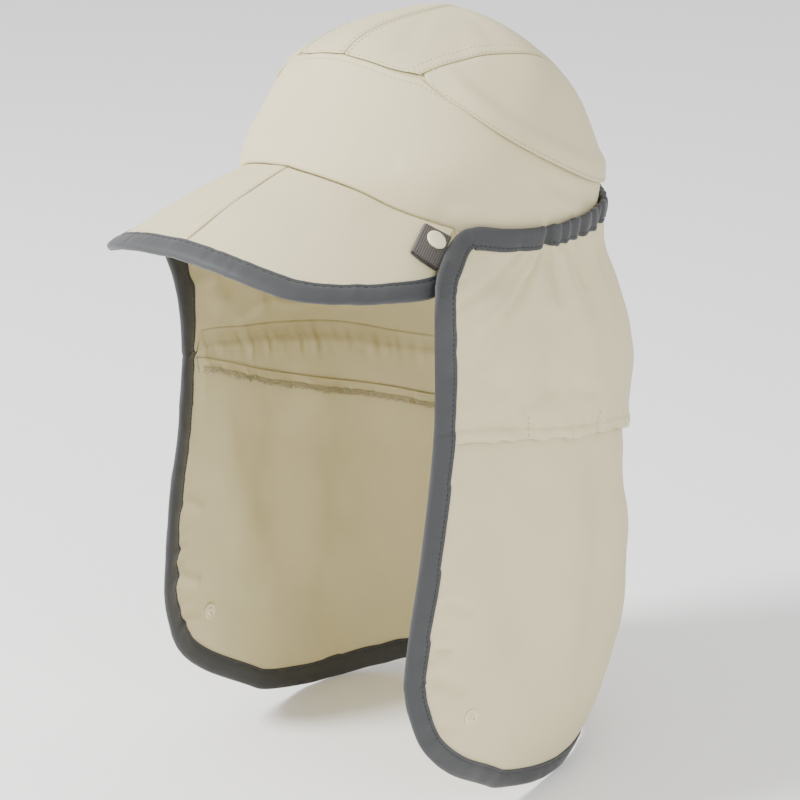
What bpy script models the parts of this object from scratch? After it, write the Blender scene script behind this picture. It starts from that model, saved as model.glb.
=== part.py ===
"""Legionnaire cap: a peaked sun cap with a long gathered neck cape.

Metres, +Z up. The cap faces -Y and the wearer's left is +X. The origin is the middle of the
head opening, at the level of the crown's lower rim at the sides. Every cloth piece is a thin
wall, and neighbouring pieces keep a small clearance.
"""
import math

import bpy
import numpy as np

# Crown
CROWN_HEIGHT = 0.1123
CROWN_HALF_WIDTH = 0.0862
CROWN_FRONT = 0.0958
CROWN_BACK = 0.0999
CROWN_TUCK = 0.013
LIP_OVERLAP = 0.006
LIP_STAND_OFF = 0.0021
LIP_START = 46.0

# Peak
PEAK_LENGTH = 0.0736
PEAK_HALF_WIDTH = 0.0868
PEAK_FALL = 0.0270
PEAK_CAMBER = 0.0020
PEAK_THICKNESS = 0.0024
PEAK_SPREAD = 48.5

# Cape
CAPE_DROP = 0.275
CAPE_FLARE = 0.040
CAPE_TOP = 0.0195
PLEAT_TUCK = 0.008
PLEAT_FLARE = 0.0008
TAPE_WIDTH = 0.0075
TAPE_THICKNESS = 0.0010
GATHER_COUNT = 12
GATHER_DEPTH = 0.0034
GATHER_START = 85.0

# Cloth, binding and clearances
CLOTH = 0.0012
GAP = 0.0003
BINDING_WIDTH = 0.0098
EDGE_TRIM = 0.0066
BINDING_WALL = 0.0008
BINDING_ROOM = 0.0007

# Tab and snaps
TAB_THICKNESS = 0.0020
SNAP_RADIUS = 0.0042
SNAP_HEIGHT = 0.0017
STUD_HEIGHT = 0.0026
TAB_SNAP_RADIUS = 0.0048
SNAP_SIDES = 14
SNAP_DEPTH = 0.7764 * CAPE_DROP
SNAP_INSET = 0.0270

# Crown sections, one row for each tenth of the climb from rim to top: shares of the half
# width, the front reach, the back reach and the back reach again for the section's middle,
# then the squareness of the front half.
CROWN_COLUMNS = ("width", "front", "back", "middle", "squareness")
CROWN_SECTIONS = (
    (0.957, 1.000, 0.881, 0.096, 2.00),
    (0.980, 0.975, 0.921, 0.096, 2.00),
    (0.994, 0.945, 0.946, 0.097, 2.00),
    (0.976, 0.912, 0.876, 0.102, 1.95),
    (0.928, 0.794, 0.786, 0.111, 1.88),
    (0.841, 0.683, 0.683, 0.128, 1.95),
    (0.709, 0.587, 0.574, 0.151, 2.10),
    (0.536, 0.494, 0.480, 0.176, 2.10),
    (0.350, 0.346, 0.388, 0.200, 2.00),
    (0.178, 0.106, 0.305, 0.217, 2.00),
    (0.000, -0.223, 0.223, 0.223, 2.00),
)
BACK_SQUARENESS = 2.15

# Seams of the crown: bearing from the front in degrees, height as a share of the crown height.
FRONT_SEAM = ((0.0, 0.881), (13.5, 0.866), (28.0, 0.833), (37.5, 0.813))
ROOT_SEAM = ((0.0, 0.454), (11.6, 0.434), (23.7, 0.388), (33.6, 0.322), (43.5, 0.266), (52.4, 0.219))
LIP_SEAM = (
    (38.2, 0.806), (41.0, 0.785), (54.0, 0.693), (65.6, 0.599), (77.4, 0.508),
    (91.8, 0.408), (105.0, 0.330), (118.0, 0.276), (135.0, 0.248), (153.0, 0.240), (180.0, 0.240),
)
# The seam between the top strip and the rear panel: shares of half width, back reach and height.
SIDE_SEAM = (
    (0.452, -0.370, 0.815), (0.509, -0.213, 0.853), (0.559, -0.013, 0.870), (0.610, 0.170, 0.858),
    (0.622, 0.391, 0.798), (0.592, 0.600, 0.686), (0.545, 0.760, 0.534), (0.500, 0.870, 0.370),
    (0.480, 0.905, 0.240),
)

# The rear panel's lower edge runs between these bearings, and both panels share the stations
# of the seam between them.
REAR_START = 38.3
REAR_END = 155.5
SEAM_STATIONS = np.concatenate([[0.014], np.linspace(0.055, 0.955, 18)])

# Peak edge: share across, then shares of the half width, the length and the fall.
PEAK_EDGE = (
    (0.00, 0.000, 1.000, 1.000), (0.20, 0.305, 0.983, 1.070), (0.38, 0.537, 0.916, 1.230),
    (0.56, 0.746, 0.755, 1.450), (0.74, 0.915, 0.405, 1.600), (0.86, 0.977, 0.140, 1.690),
    (0.95, 0.990, -0.090, 1.770), (1.00, 0.970, -0.200, 1.780),
)

# Corners of the tab on the peak, as shares across it and outward from the root seam.
TAB_CORNERS = ((0.860, 0.060), (0.835, 0.440), (0.935, 0.620), (0.965, 0.170))

# Cape: bearing of its front edge against height as a share of the drop.
CAPE_EDGE = (
    (0.0364, 44.9), (-0.018, 44.7), (-0.160, 45.0), (-0.236, 44.8), (-0.327, 43.8),
    (-0.473, 41.7), (-0.600, 39.6), (-0.687, 38.7), (-1.100, 38.7),
)
# The rounded top corner: bearing in degrees and height as a share of the drop.
TOP_CORNER = (
    (44.9, 0.030), (45.5, 0.044), (47.0, 0.061), (49.0, 0.0755), (51.5, 0.0855),
    (54.4, 0.0910), (57.6, 0.0915),
)
# Cape sections: height as a share of the drop, then how far the cape stands off the crown at
# each bearing, as a share of the cape's flare. Below the crown it is measured from its rim.
CAPE_BEARINGS = ("front edge", 60.0, 85.0, 108.0, 132.0, 180.0)
CAPE_SECTIONS = (
    (0.0920, 0.14, 0.075, 0.075, 0.075, 0.075, 0.075),
    (0.0655, 0.50, 0.10, 0.075, 0.075, 0.075, 0.075),
    (0.0364, 0.79, 0.23, 0.090, 0.080, 0.080, 0.080),
    (0.0090, 0.95, 0.36, 0.140, 0.110, 0.110, 0.120),
    (-0.018, 0.965, 0.47, 0.200, 0.155, 0.145, 0.165),
    (-0.080, 0.86, 0.51, 0.370, 0.330, 0.320, 0.375),
    (-0.160, 0.78, 0.55, 0.480, 0.460, 0.505, 0.600),
    (-0.236, 0.77, 0.56, 0.495, 0.490, 0.555, 0.700),
    (-0.327, 0.81, 0.56, 0.470, 0.460, 0.530, 0.700),
    (-0.473, 0.92, 0.59, 0.480, 0.500, 0.605, 0.775),
    (-0.600, 1.00, 0.62, 0.480, 0.510, 0.640, 0.800),
    (-0.709, 1.03, 0.62, 0.430, 0.465, 0.605, 0.750),
    (-0.818, 1.00, 0.53, 0.360, 0.400, 0.440, 0.500),
    (-0.909, 0.945, 0.37, 0.220, 0.240, 0.160, 0.100),
    (-1.000, 0.85, 0.20, 0.050, -0.040, -0.300, -0.450),
)
# Hem: share of the way from the front edge to the back, height as a share of the drop.
HEM = (
    (0.0000, -0.687), (0.0064, -0.738), (0.0280, -0.815), (0.0757, -0.885), (0.1520, -0.945),
    (0.2040, -0.971), (0.3400, -0.996), (0.4510, -1.000), (0.5680, -0.989), (0.6500, -0.975),
    (0.8020, -0.964), (1.0000, -0.960),
)
# Steps along each half of the hem, and rows of both cloths as shares of their climb.
HEM_STEPS = np.linspace(0.0, 1.0, 25)
UPPER_ROWS = (0.0, 0.30, 0.56, 0.74, 0.85, 0.935, 1.0)
LOWER_ROWS = (0.0, 0.10, 0.24, 0.42, 0.62, 0.80, 0.92, 1.0)

# Pleat: bearing in degrees, height of the outer fold and of the inner tape as shares of the drop.
PLEAT = (
    (44.0, -0.256, -0.262), (50.3, -0.258, -0.280), (71.0, -0.285, -0.340), (96.0, -0.315, -0.396),
    (112.0, -0.335, -0.425), (128.4, -0.364, -0.452), (141.0, -0.378, -0.471), (180.0, -0.395, -0.495),
)

# Plain colours
SAND = (0.640, 0.590, 0.490, 1.0)
SLATE = (0.098, 0.104, 0.112, 1.0)
WEBBING = (0.150, 0.125, 0.098, 1.0)
SNAP_CREAM = (0.600, 0.560, 0.460, 1.0)


def clear_scene():
    for obj in list(bpy.data.objects):
        bpy.data.objects.remove(obj, do_unlink=True)


def plain_material(name, colour, roughness, metallic=0.0):
    material = bpy.data.materials.new(name)
    material.use_nodes = True
    shader = material.node_tree.nodes["Principled BSDF"]
    shader.inputs["Base Color"].default_value = colour
    shader.inputs["Roughness"].default_value = roughness
    shader.inputs["Metallic"].default_value = metallic
    return material


def spline(knots, values, at):
    """Smooth curve through values at the knots, which never overshoots between two of them.
    Values may hold one column for each point of at."""
    knots = np.asarray(knots, float)
    values = np.asarray(values, float)
    at = np.asarray(at, float)
    if knots[0] > knots[-1]:
        knots = knots[::-1]
        values = values[::-1]
    steps = np.diff(knots)
    if values.ndim > 1:
        steps = steps[:, None]
    rise = np.diff(values, axis=0) / steps
    slope = np.empty_like(values)
    slope[0] = rise[0]
    slope[-1] = rise[-1]
    middle = (rise[:-1] * steps[1:] + rise[1:] * steps[:-1]) / (steps[:-1] + steps[1:])
    limit = 3.0 * np.minimum(np.abs(rise[:-1]), np.abs(rise[1:]))
    middle = np.clip(middle, -limit, limit)
    slope[1:-1] = np.where(rise[:-1] * rise[1:] > 0, middle, 0.0)
    index = np.clip(np.searchsorted(knots, at) - 1, 0, len(knots) - 2)
    gap = knots[index + 1] - knots[index]
    share = np.clip((at - knots[index]) / gap, 0.0, 1.0)
    if values.ndim > 1:
        columns = np.arange(values.shape[1])
        low, high = values[index, columns], values[index + 1, columns]
        slope_low, slope_high = slope[index, columns], slope[index + 1, columns]
    else:
        low, high = values[index], values[index + 1]
        slope_low, slope_high = slope[index], slope[index + 1]
    square, cube = share * share, share ** 3
    return (
        low * (2 * cube - 3 * square + 1)
        + high * (3 * square - 2 * cube)
        + slope_low * gap * (cube - 2 * square + share)
        + slope_high * gap * (cube - square)
    )


def table_curve(table, column, at):
    rows = np.array(table)
    return spline(rows[:, 0], rows[:, column], at)


def smooth_step(value):
    value = np.clip(value, 0.0, 1.0)
    return value * value * (3.0 - 2.0 * value)


def crown_section(height):
    """Half width, front and back reach from the section's middle, the middle and the squareness."""
    climb = np.arcsin(np.clip(height / CROWN_HEIGHT, 0.0, 1.0)) / (math.pi / 2) * 10.0
    rows = np.array(CROWN_SECTIONS)
    knots = np.arange(len(rows))
    column = {name: spline(knots, rows[:, i], climb) for i, name in enumerate(CROWN_COLUMNS)}
    middle = column["middle"] * CROWN_BACK
    return (
        np.maximum(column["width"] * CROWN_HALF_WIDTH, 1e-6),
        np.maximum(column["front"] * CROWN_FRONT + middle, 1e-6),
        np.maximum(column["back"] * CROWN_BACK - middle, 1e-6),
        middle,
        column["squareness"],
    )


def crown_radius(bearing, height):
    """Distance from the section's middle to the crown at a bearing in degrees from the front."""
    half_width, front, back, middle, squareness = crown_section(height)
    turn = np.radians(bearing)
    ahead = np.cos(turn) > 0
    reach = np.where(ahead, front, back)
    power = np.where(ahead, squareness, BACK_SQUARENESS)
    total = (np.abs(np.sin(turn)) / half_width) ** power + (np.abs(np.cos(turn)) / reach) ** power
    return total ** (-1.0 / power), middle


def crown_point(bearing, height, out=0.0):
    bearing, height = np.broadcast_arrays(np.asarray(bearing, float), np.asarray(height, float))
    radius, middle = crown_radius(bearing, height)
    turn = np.radians(bearing)
    radius = radius + out
    return np.stack([radius * np.sin(turn), middle - radius * np.cos(turn), height], -1)


def crown_gauge(points):
    """Below one inside the crown's surface, above one outside it."""
    half_width, front, back, middle, squareness = crown_section(points[..., 2])
    ahead = points[..., 1] < middle
    reach = np.where(ahead, front, back)
    power = np.where(ahead, squareness, BACK_SQUARENESS)
    gauge = (np.abs(points[..., 0]) / half_width) ** power
    gauge = gauge + (np.abs(points[..., 1] - middle) / reach) ** power
    return np.where(points[..., 2] >= CROWN_HEIGHT, 2.0, gauge)


def onto_crown(points, out=0.0):
    """Moves points along rays from inside the crown until they lie on its surface."""
    heart = np.array([0.0, 0.15 * CROWN_BACK, 0.3 * CROWN_HEIGHT])
    ray = points - heart
    ray = ray / np.linalg.norm(ray, axis=-1, keepdims=True)
    near = np.zeros(points.shape[:-1])
    far = near + 1.5 * (CROWN_BACK + CROWN_FRONT)
    for _ in range(40):
        half = (near + far) / 2
        outside = crown_gauge(heart + ray * half[..., None]) > 1.0
        far = np.where(outside, half, far)
        near = np.where(outside, near, half)
    return heart + ray * (near + out)[..., None]


def front_seam_height(bearing):
    return table_curve(FRONT_SEAM, 1, bearing) * CROWN_HEIGHT


def root_seam_height(bearing):
    return table_curve(ROOT_SEAM, 1, bearing) * CROWN_HEIGHT


def lip_height(bearing):
    return table_curve(LIP_SEAM, 1, bearing) * CROWN_HEIGHT


def cape_top_height(bearing):
    """Top edge of the cape: level with the crown's rim seam, rising a little at the temples."""
    rise = root_seam_height(52.4) - CAPE_TOP
    return CAPE_TOP + rise * (1.0 - smooth_step((bearing - 50.0) / 36.0))


def sheet_object(name, grid, thickness, material, offset=-1.0):
    """A wall of cloth from a grid of points whose rows run across and whose faces look out."""
    rows, columns = grid.shape[:2]
    points = grid.reshape(-1, 3).tolist()
    faces = []
    for row in range(rows - 1):
        for column in range(columns - 1):
            beside = (column + 1) % columns
            faces.append((
                row * columns + column,
                row * columns + beside,
                (row + 1) * columns + beside,
                (row + 1) * columns + column,
            ))
    mesh = bpy.data.meshes.new(name)
    mesh.from_pydata(points, [], faces)
    mesh.shade_smooth()
    obj = bpy.data.objects.new(name, mesh)
    bpy.context.scene.collection.objects.link(obj)
    mesh.materials.append(material)
    wall = obj.modifiers.new("Cloth wall", "SOLIDIFY")
    wall.thickness = thickness
    wall.offset = offset
    wall.use_even_offset = True
    return obj


def slab_object(name, outer, inner, material, closed=False):
    """A closed body between two grids, with a rim round their edge. Rows run across it, and a
    closed one is a ring whose last column meets its first."""
    rows, columns = outer.shape[:2]
    count = rows * columns
    faces = []
    for row in range(rows - 1):
        for column in range(columns if closed else columns - 1):
            corner, beside = row * columns + column, row * columns + (column + 1) % columns
            quad = (corner, beside, beside + columns, corner + columns)
            faces.append(quad)
            faces.append(tuple(count + index for index in reversed(quad)))
    bottom = list(range(columns))
    top = [(rows - 1) * columns + column for column in reversed(range(columns))]
    if closed:
        borders = [bottom, top]
    else:
        right = [row * columns + columns - 1 for row in range(1, rows - 1)]
        left = [row * columns for row in reversed(range(1, rows - 1))]
        borders = [bottom + right + top + left]
    for border in borders:
        for start, end in zip(border, border[1:] + border[:1]):
            faces.append((end, start, start + count, end + count))
    points = np.concatenate([outer.reshape(-1, 3), inner.reshape(-1, 3)])
    mesh = bpy.data.meshes.new(name)
    mesh.from_pydata(points.tolist(), [], faces)
    mesh.shade_smooth()
    mesh.set_sharp_from_angle(angle=math.radians(50))
    obj = bpy.data.objects.new(name, mesh)
    bpy.context.scene.collection.objects.link(obj)
    mesh.materials.append(material)
    return obj


def tube_object(name, rings, material, closed=False):
    """A closed body swept through rings of points, either a loop or with a cap on each end."""
    count, sides = rings.shape[:2]
    faces = []
    for ring in range(count if closed else count - 1):
        ahead = (ring + 1) % count
        for side in range(sides):
            beside = (side + 1) % sides
            faces.append((
                ring * sides + side,
                ahead * sides + side,
                ahead * sides + beside,
                ring * sides + beside,
            ))
    if not closed:
        faces.append(tuple(range(sides)))
        faces.append(tuple(reversed(range((count - 1) * sides, count * sides))))
    mesh = bpy.data.meshes.new(name)
    mesh.from_pydata(rings.reshape(-1, 3).tolist(), [], faces)
    mesh.shade_smooth()
    mesh.set_sharp_from_angle(angle=math.radians(40))
    obj = bpy.data.objects.new(name, mesh)
    bpy.context.scene.collection.objects.link(obj)
    mesh.materials.append(material)
    return obj


def turned_object(name, profile, place, normal, material):
    """A round fastener: its profile of radius and height turned about the normal at a place."""
    normal = normal / np.linalg.norm(normal)
    side = np.cross(normal, (0.0, 0.0, 1.0))
    side = side / np.linalg.norm(side)
    other = np.cross(normal, side)
    rings = []
    for radius, height in profile:
        turns = np.arange(SNAP_SIDES) * 2 * math.pi / SNAP_SIDES
        ring = place + normal * height
        ring = ring + radius * (np.cos(turns)[:, None] * side + np.sin(turns)[:, None] * other)
        rings.append(ring)
    return tube_object(name, np.array(rings)[:, ::-1], material)


def mirrored(grid):
    """The same grid on the wearer's right, with its columns turned so faces still look out."""
    return (grid * np.array([-1.0, 1.0, 1.0]))[:, ::-1]


def add_pair(name, outer, inner, material):
    slab_object(name + "_left", outer, inner, material)
    slab_object(name + "_right", mirrored(outer), mirrored(inner), material)


def build_crown_band(material):
    """The front panel and the band round the sides and back, in one ring."""
    half = np.concatenate([np.linspace(0.0, 37.5, 7), np.linspace(40.5, 52.5, 5), np.linspace(59.5, 180.0, 17)])
    under = lip_height(half) + LIP_OVERLAP * smooth_step((half - LIP_START) / 10.0)
    top = np.where(half < 37.6, front_seam_height(np.minimum(half, 37.5)), under) - GAP / 2
    tuck = smooth_step((half - 49.5) / 10.0) * CROWN_TUCK
    bottom = np.where(half < 52.4, root_seam_height(np.minimum(half, 52.4)), cape_top_height(half))
    bottom = bottom + GAP / 2 - tuck
    bearings = np.concatenate([half, 360.0 - half[-2:0:-1]])
    index = np.concatenate([np.arange(len(half)), np.arange(len(half) - 2, 0, -1)])
    shares = np.linspace(0.0, 1.0, 6)[:, None]
    heights = bottom[index] * (1 - shares) + top[index] * shares
    grid = crown_point(np.broadcast_to(bearings, heights.shape), heights)
    slab_object("crown_band", grid, onto_crown(grid, -CLOTH), material, closed=True)


def side_seam(share, inset=0.0):
    rows = np.array(SIDE_SEAM) * np.array([CROWN_HALF_WIDTH, CROWN_BACK, CROWN_HEIGHT])
    knots = np.linspace(0.0, 1.0, len(rows))
    points = np.stack([spline(knots, rows[:, i], share) for i in range(3)], -1)
    points[..., 0] += inset
    return onto_crown(points)


def lip_stand_off(points):
    """How far the vented lip stands off the band: full at the lip and gone above the overlap."""
    middle = crown_section(points[..., 2])[3]
    bearing = np.degrees(np.arctan2(np.abs(points[..., 0]), middle - points[..., 1]))
    above = points[..., 2] - lip_height(bearing) - LIP_OVERLAP - CLOTH
    fade = 1.0 - smooth_step(above / (1.5 * LIP_OVERLAP))
    return LIP_STAND_OFF * fade * smooth_step((bearing - LIP_START + 7.0) / 8.0)


def centre_line(share):
    start = crown_point(0.0, front_seam_height(0.0) + GAP / 2)
    end = crown_point(180.0, lip_height(180.0))
    heart = np.array([0.0, 0.15 * CROWN_BACK, 0.3 * CROWN_HEIGHT])
    first = math.atan2(start[2] - heart[2], start[1] - heart[1])
    last = math.atan2(end[2] - heart[2], end[1] - heart[1])
    turn = first + (last - first) * share
    ray = np.stack([np.zeros_like(turn), np.cos(turn), np.sin(turn)], -1)
    return onto_crown(heart + ray * CROWN_BACK)


def build_crown_tops(material):
    """The two halves of the top strip, from the front seam over the crown to the back."""
    along = np.concatenate([[0.0], SEAM_STATIONS, [1.0]])
    across = np.linspace(0.0, 1.0, 6)
    middle = centre_line(along)
    edge = side_seam(along, inset=-GAP)
    grid = middle[:, None] * (1 - across)[None, :, None] + edge[:, None] * across[None, :, None]
    front = crown_point(37.5 * across, front_seam_height(37.5 * across) + GAP / 2)
    fade = (1.0 - smooth_step(along / 0.3))[:, None, None]
    grid = grid + fade * (front - grid[0])[None] * (1 - across ** 4)[None, :, None]
    grid = onto_crown(grid)
    grid[..., 0] += GAP / 2 * (1 - across)[None]
    stand_off = lip_stand_off(grid)
    add_pair("crown_top", onto_crown(grid, stand_off), onto_crown(grid, stand_off - CLOTH), material)


def build_crown_rears(material):
    """The vented rear panels, whose lower lip stands a little outside the band."""
    upper = side_seam(SEAM_STATIONS, inset=GAP)
    bearing = REAR_START + (REAR_END - REAR_START) * SEAM_STATIONS
    lower = crown_point(bearing, lip_height(bearing))
    overlap = 1.5 * LIP_OVERLAP / np.linalg.norm(upper - lower, axis=-1)
    overlap = np.minimum(overlap, 0.6)[None]
    across = np.array([0.0, 0.0, 0.33, 0.67, 1.0])[:, None] * (1 - overlap) + overlap
    across[0] = 0.0
    grid = lower * (1 - across)[..., None] + upper * across[..., None]
    grid = onto_crown(grid)
    stand_off = lip_stand_off(grid)
    add_pair("crown_rear", onto_crown(grid, stand_off), onto_crown(grid, stand_off - CLOTH), material)


def peak_point(across, outward, lift=0.0):
    """Upper surface of the peak, from the root seam (0) to its edge (1)."""
    across, outward = np.broadcast_arrays(np.asarray(across, float), np.asarray(outward, float))
    side = np.abs(across)
    bearing = side * PEAK_SPREAD
    root = crown_point(bearing, root_seam_height(bearing) - GAP)
    root_front = crown_point(0.0, root_seam_height(0.0))
    edge = np.stack([
        table_curve(PEAK_EDGE, 1, side) * PEAK_HALF_WIDTH,
        root_front[1] - table_curve(PEAK_EDGE, 2, side) * PEAK_LENGTH,
        root_front[2] - table_curve(PEAK_EDGE, 3, side) * PEAK_FALL,
    ], -1)
    point = root * (1 - outward)[..., None] + edge * outward[..., None]
    point[..., 2] += PEAK_CAMBER * 4 * outward * (1 - outward) + lift
    point[..., 0] *= np.where(across < 0, -1.0, 1.0)
    return point


def build_peak_halves(material):
    across = np.linspace(0.0, 1.0, 14)
    outward = np.linspace(1.0, 0.0, 6)
    across, outward = np.broadcast_arrays(across[None], outward[:, None])
    upper = peak_point(across, outward)
    upper[..., 0] += GAP / 2 * (1 - across)
    add_pair("peak", upper, upper - peak_normal(across, outward) * PEAK_THICKNESS, material)


def peak_normal(across, outward, step=1e-3):
    """Upward normal of the peak's surface."""
    along = peak_point(across + step, outward) - peak_point(across - step, outward)
    out = peak_point(across, outward + step) - peak_point(across, outward - step)
    normal = np.cross(along, out)
    return -normal / np.linalg.norm(normal, axis=-1, keepdims=True)


def channel_rings(edge, inner, edge_normal, inner_normal, half_room, wall):
    """Rings of a folded binding that wraps an edge, from the edge itself to its inner line."""
    full = half_room + wall
    outward = edge - inner
    outward = outward / np.linalg.norm(outward, axis=-1, keepdims=True)
    seat, nose = edge + outward * 2 * GAP, edge + outward * (2 * GAP + wall)
    return np.stack([
        inner + inner_normal * half_room, seat + edge_normal * half_room,
        seat - edge_normal * half_room, inner - inner_normal * half_room,
        inner - inner_normal * full, nose - edge_normal * full,
        nose + edge_normal * full, inner + inner_normal * full,
    ], 1)


def build_peak_binding(material):
    """The binding folded over the peak's edge from temple to temple."""
    across = np.linspace(-1.0, 1.0, 27)
    reach = np.linalg.norm(peak_point(across, 1.0) - peak_point(across, 0.0), axis=-1)
    points, normals = [], []
    for outward in (np.ones_like(across), 1 - BINDING_WIDTH / reach):
        normal = peak_normal(across, outward)
        normals.append(normal)
        points.append(peak_point(across, outward) - normal * PEAK_THICKNESS / 2)
    rings = channel_rings(*points, *normals, PEAK_THICKNESS / 2 + 2 * GAP, BINDING_WALL)
    tube_object("peak_binding", rings, material)


def cape_edge_bearing(height):
    return table_curve(CAPE_EDGE, 1, height / CAPE_DROP)


def cape_point(bearing, height):
    """Middle of the cape's cloth at a bearing in degrees and a height."""
    bearing, height = np.broadcast_arrays(np.asarray(bearing, float), np.asarray(height, float))
    shape = bearing.shape
    bearing, height = bearing.ravel(), height.ravel()
    side = np.minimum(np.abs(bearing), 360.0 - np.abs(bearing))
    crown, middle = crown_radius(side, np.maximum(height, 0.0))
    flares = []
    for row in CAPE_SECTIONS:
        knots = (cape_edge_bearing(row[0] * CAPE_DROP),) + CAPE_BEARINGS[1:]
        flares.append(spline(knots, np.array(row[1:]) * CAPE_FLARE, side))
    heights = [row[0] * CAPE_DROP for row in CAPE_SECTIONS]
    radius = crown + spline(heights, np.array(flares), height) + gather(side, height)
    turn = np.radians(side)
    points = np.stack([radius * np.sin(turn), middle - radius * np.cos(turn), height], -1)
    points[:, 0] *= np.where(bearing > 180.0, -1.0, 1.0)
    return points.reshape(shape + (3,))


def gather(bearing, height):
    """Ripples of the elastic gathers, deepest a little below the top and gone at the pleat."""
    span = 180.0 - GATHER_START
    phase = (bearing - GATHER_START) / span * GATHER_COUNT * math.pi
    fall = (CAPE_TOP - height) / CAPE_DROP
    depth = np.interp(fall, (0.0, 0.05, 0.16, 0.30), (0.15, 0.6, 0.35, 0.0)) * GATHER_DEPTH
    begin = smooth_step((bearing - GATHER_START + 2.0) / 6.0)
    return depth * begin * (0.5 - 0.5 * np.cos(phase))


def cape_bearing(share, height):
    """Bearing at a share of the way round from the left front edge (0) to the right one (2)."""
    edge = cape_edge_bearing(height)
    side = edge + (180.0 - edge) * np.minimum(share, 2.0 - share)
    return np.where(share > 1.0, 360.0 - side, side)


def folded(bearing):
    """The bearing on the left that mirrors one on the right."""
    return np.minimum(bearing, 360.0 - bearing)


def push_out(points, bearing, distance):
    turn = np.radians(bearing)
    out = np.stack([np.sin(turn), -np.cos(turn), np.zeros_like(turn)], -1)
    return points + out * np.broadcast_to(distance, bearing.shape)[..., None]


def both_sides(half):
    """Shares round the whole cape from those of its left half."""
    return np.concatenate([half, 2.0 - half[-2::-1]])


def both_heights(half):
    return np.concatenate([half, half[-2::-1]])


def both_bearings(half):
    return np.concatenate([half, 360.0 - half[-2::-1]])


def fold_height(bearing):
    return table_curve(PLEAT, 1, folded(bearing)) * CAPE_DROP


def top_line():
    """Bearings and heights along the top edge from the left front corner to the right one."""
    corner = np.array(TOP_CORNER)
    plain = np.linspace(corner[-1, 0], GATHER_START, 6)[1:-1]
    level = np.concatenate([plain, np.linspace(GATHER_START, 180.0, 2 * GATHER_COUNT + 1)])
    bearing = np.concatenate([corner[:, 0], level])
    height = np.concatenate([corner[:, 1] * CAPE_DROP, cape_top_height(level)])
    return both_bearings(bearing), both_heights(height)


def hem_line():
    """Bearings and heights along the hem from the left front edge to the right one."""
    rows = np.array(HEM)
    knots = np.linspace(0.0, 1.0, len(rows))
    share = spline(knots, rows[:, 0], HEM_STEPS)
    height = spline(knots, rows[:, 1], HEM_STEPS) * CAPE_DROP
    return both_bearings(cape_bearing(share, height)), both_heights(height)


def border_loop():
    """Bearings, heights and steps into the cloth round the cape's whole border: along the hem
    from left to right, up the right edge, along the top from right to left, and down."""
    top, hem = top_line(), hem_line()
    fold = fold_height(cape_edge_bearing(-0.3 * CAPE_DROP))
    lower = hem[1][0] + (fold - hem[1][0]) * np.array(LOWER_ROWS[1:-1])
    upper = fold + (top[1][0] - fold) * np.array(UPPER_ROWS[:-1])
    side = np.concatenate([lower, upper])
    edge = cape_edge_bearing(side)
    bearing = np.concatenate([hem[0], 360.0 - edge, top[0][::-1], edge[::-1]])
    height = np.concatenate([hem[1], side, top[1][::-1], side[::-1]])
    return bearing, height, step_into_cloth(bearing, height)


def cloth_border():
    """Where the cloth ends inside its binding: hem, right side, top and left side, from left to
    right and upwards. Each row holds a bearing, a height and the place halfway in the fold."""
    bearing, height, into = border_loop()
    edge = cape_point(bearing, height)
    mouth = cape_point(bearing + into[0] * BINDING_WIDTH, height + into[1] * BINDING_WIDTH)
    place = edge + (mouth - edge) * EDGE_TRIM / BINDING_WIDTH
    inner = np.column_stack([bearing + into[0] * EDGE_TRIM, height + into[1] * EDGE_TRIM, place])
    hem = len(hem_line()[0])
    top = len(top_line()[0])
    side = len(LOWER_ROWS) + len(UPPER_ROWS) - 3
    return (
        inner[:hem], inner[hem:hem + side],
        inner[hem + side:hem + side + top][::-1], inner[hem + side + top:][::-1],
    )


def filled_in(low, high, left, right, rows):
    """A grid of bearings and heights between a low and a high line and two sides."""
    up = np.array(rows)[:, None, None]
    across = np.linspace(0.0, 1.0, len(low))[None, :, None]
    grid = low * (1 - up) + high * up
    left_gap, right_gap = left[:, None] - grid[:, :1], right[:, None] - grid[:, -1:]
    grid = grid + left_gap * (1 - across) ** 6 + right_gap * across ** 6
    return grid[..., 0], grid[..., 1]


def fold_line(start, steps):
    """Bearings and heights along the fold of the pleat from one end to the other."""
    bearing = both_bearings(start + (180.0 - start) * steps)
    return bearing, fold_height(bearing)


def lower_inset(bearing):
    """How far the lower cloth lies inside the fold: nothing in the front binding, then full."""
    edge = cape_edge_bearing(-0.3 * CAPE_DROP)
    return smooth_step((folded(bearing) - edge - 6.0) / 4.0)


def build_cape_upper(material):
    """The gathered upper cloth, from the crown's rim down to the fold of the pleat."""
    _, right, top, left = cloth_border()
    first = len(LOWER_ROWS) - 2
    steps = np.linspace(0.0, 1.0, (len(top) + 1) // 2)
    fold = np.stack(fold_line(left[first, 0], steps), -1)
    left = np.concatenate([left[first:], top[:1]])
    right = np.concatenate([right[first:], top[-1:]])
    bearing, height = filled_in(fold, top[:, :2], left[:, :2], right[:, :2], UPPER_ROWS)
    near_fold = 1.0 - smooth_step(np.array(UPPER_ROWS) / 0.2)
    flare = PLEAT_FLARE * lower_inset(bearing) * near_fold[:, None]
    grid = push_out(cape_point(bearing, height), bearing, flare)
    grid[:, 0], grid[:, -1], grid[-1] = left[:, 2:], right[:, 2:], top[:, 2:]
    sheet_object("cape_upper", grid, CLOTH, material, offset=0.0)


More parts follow.
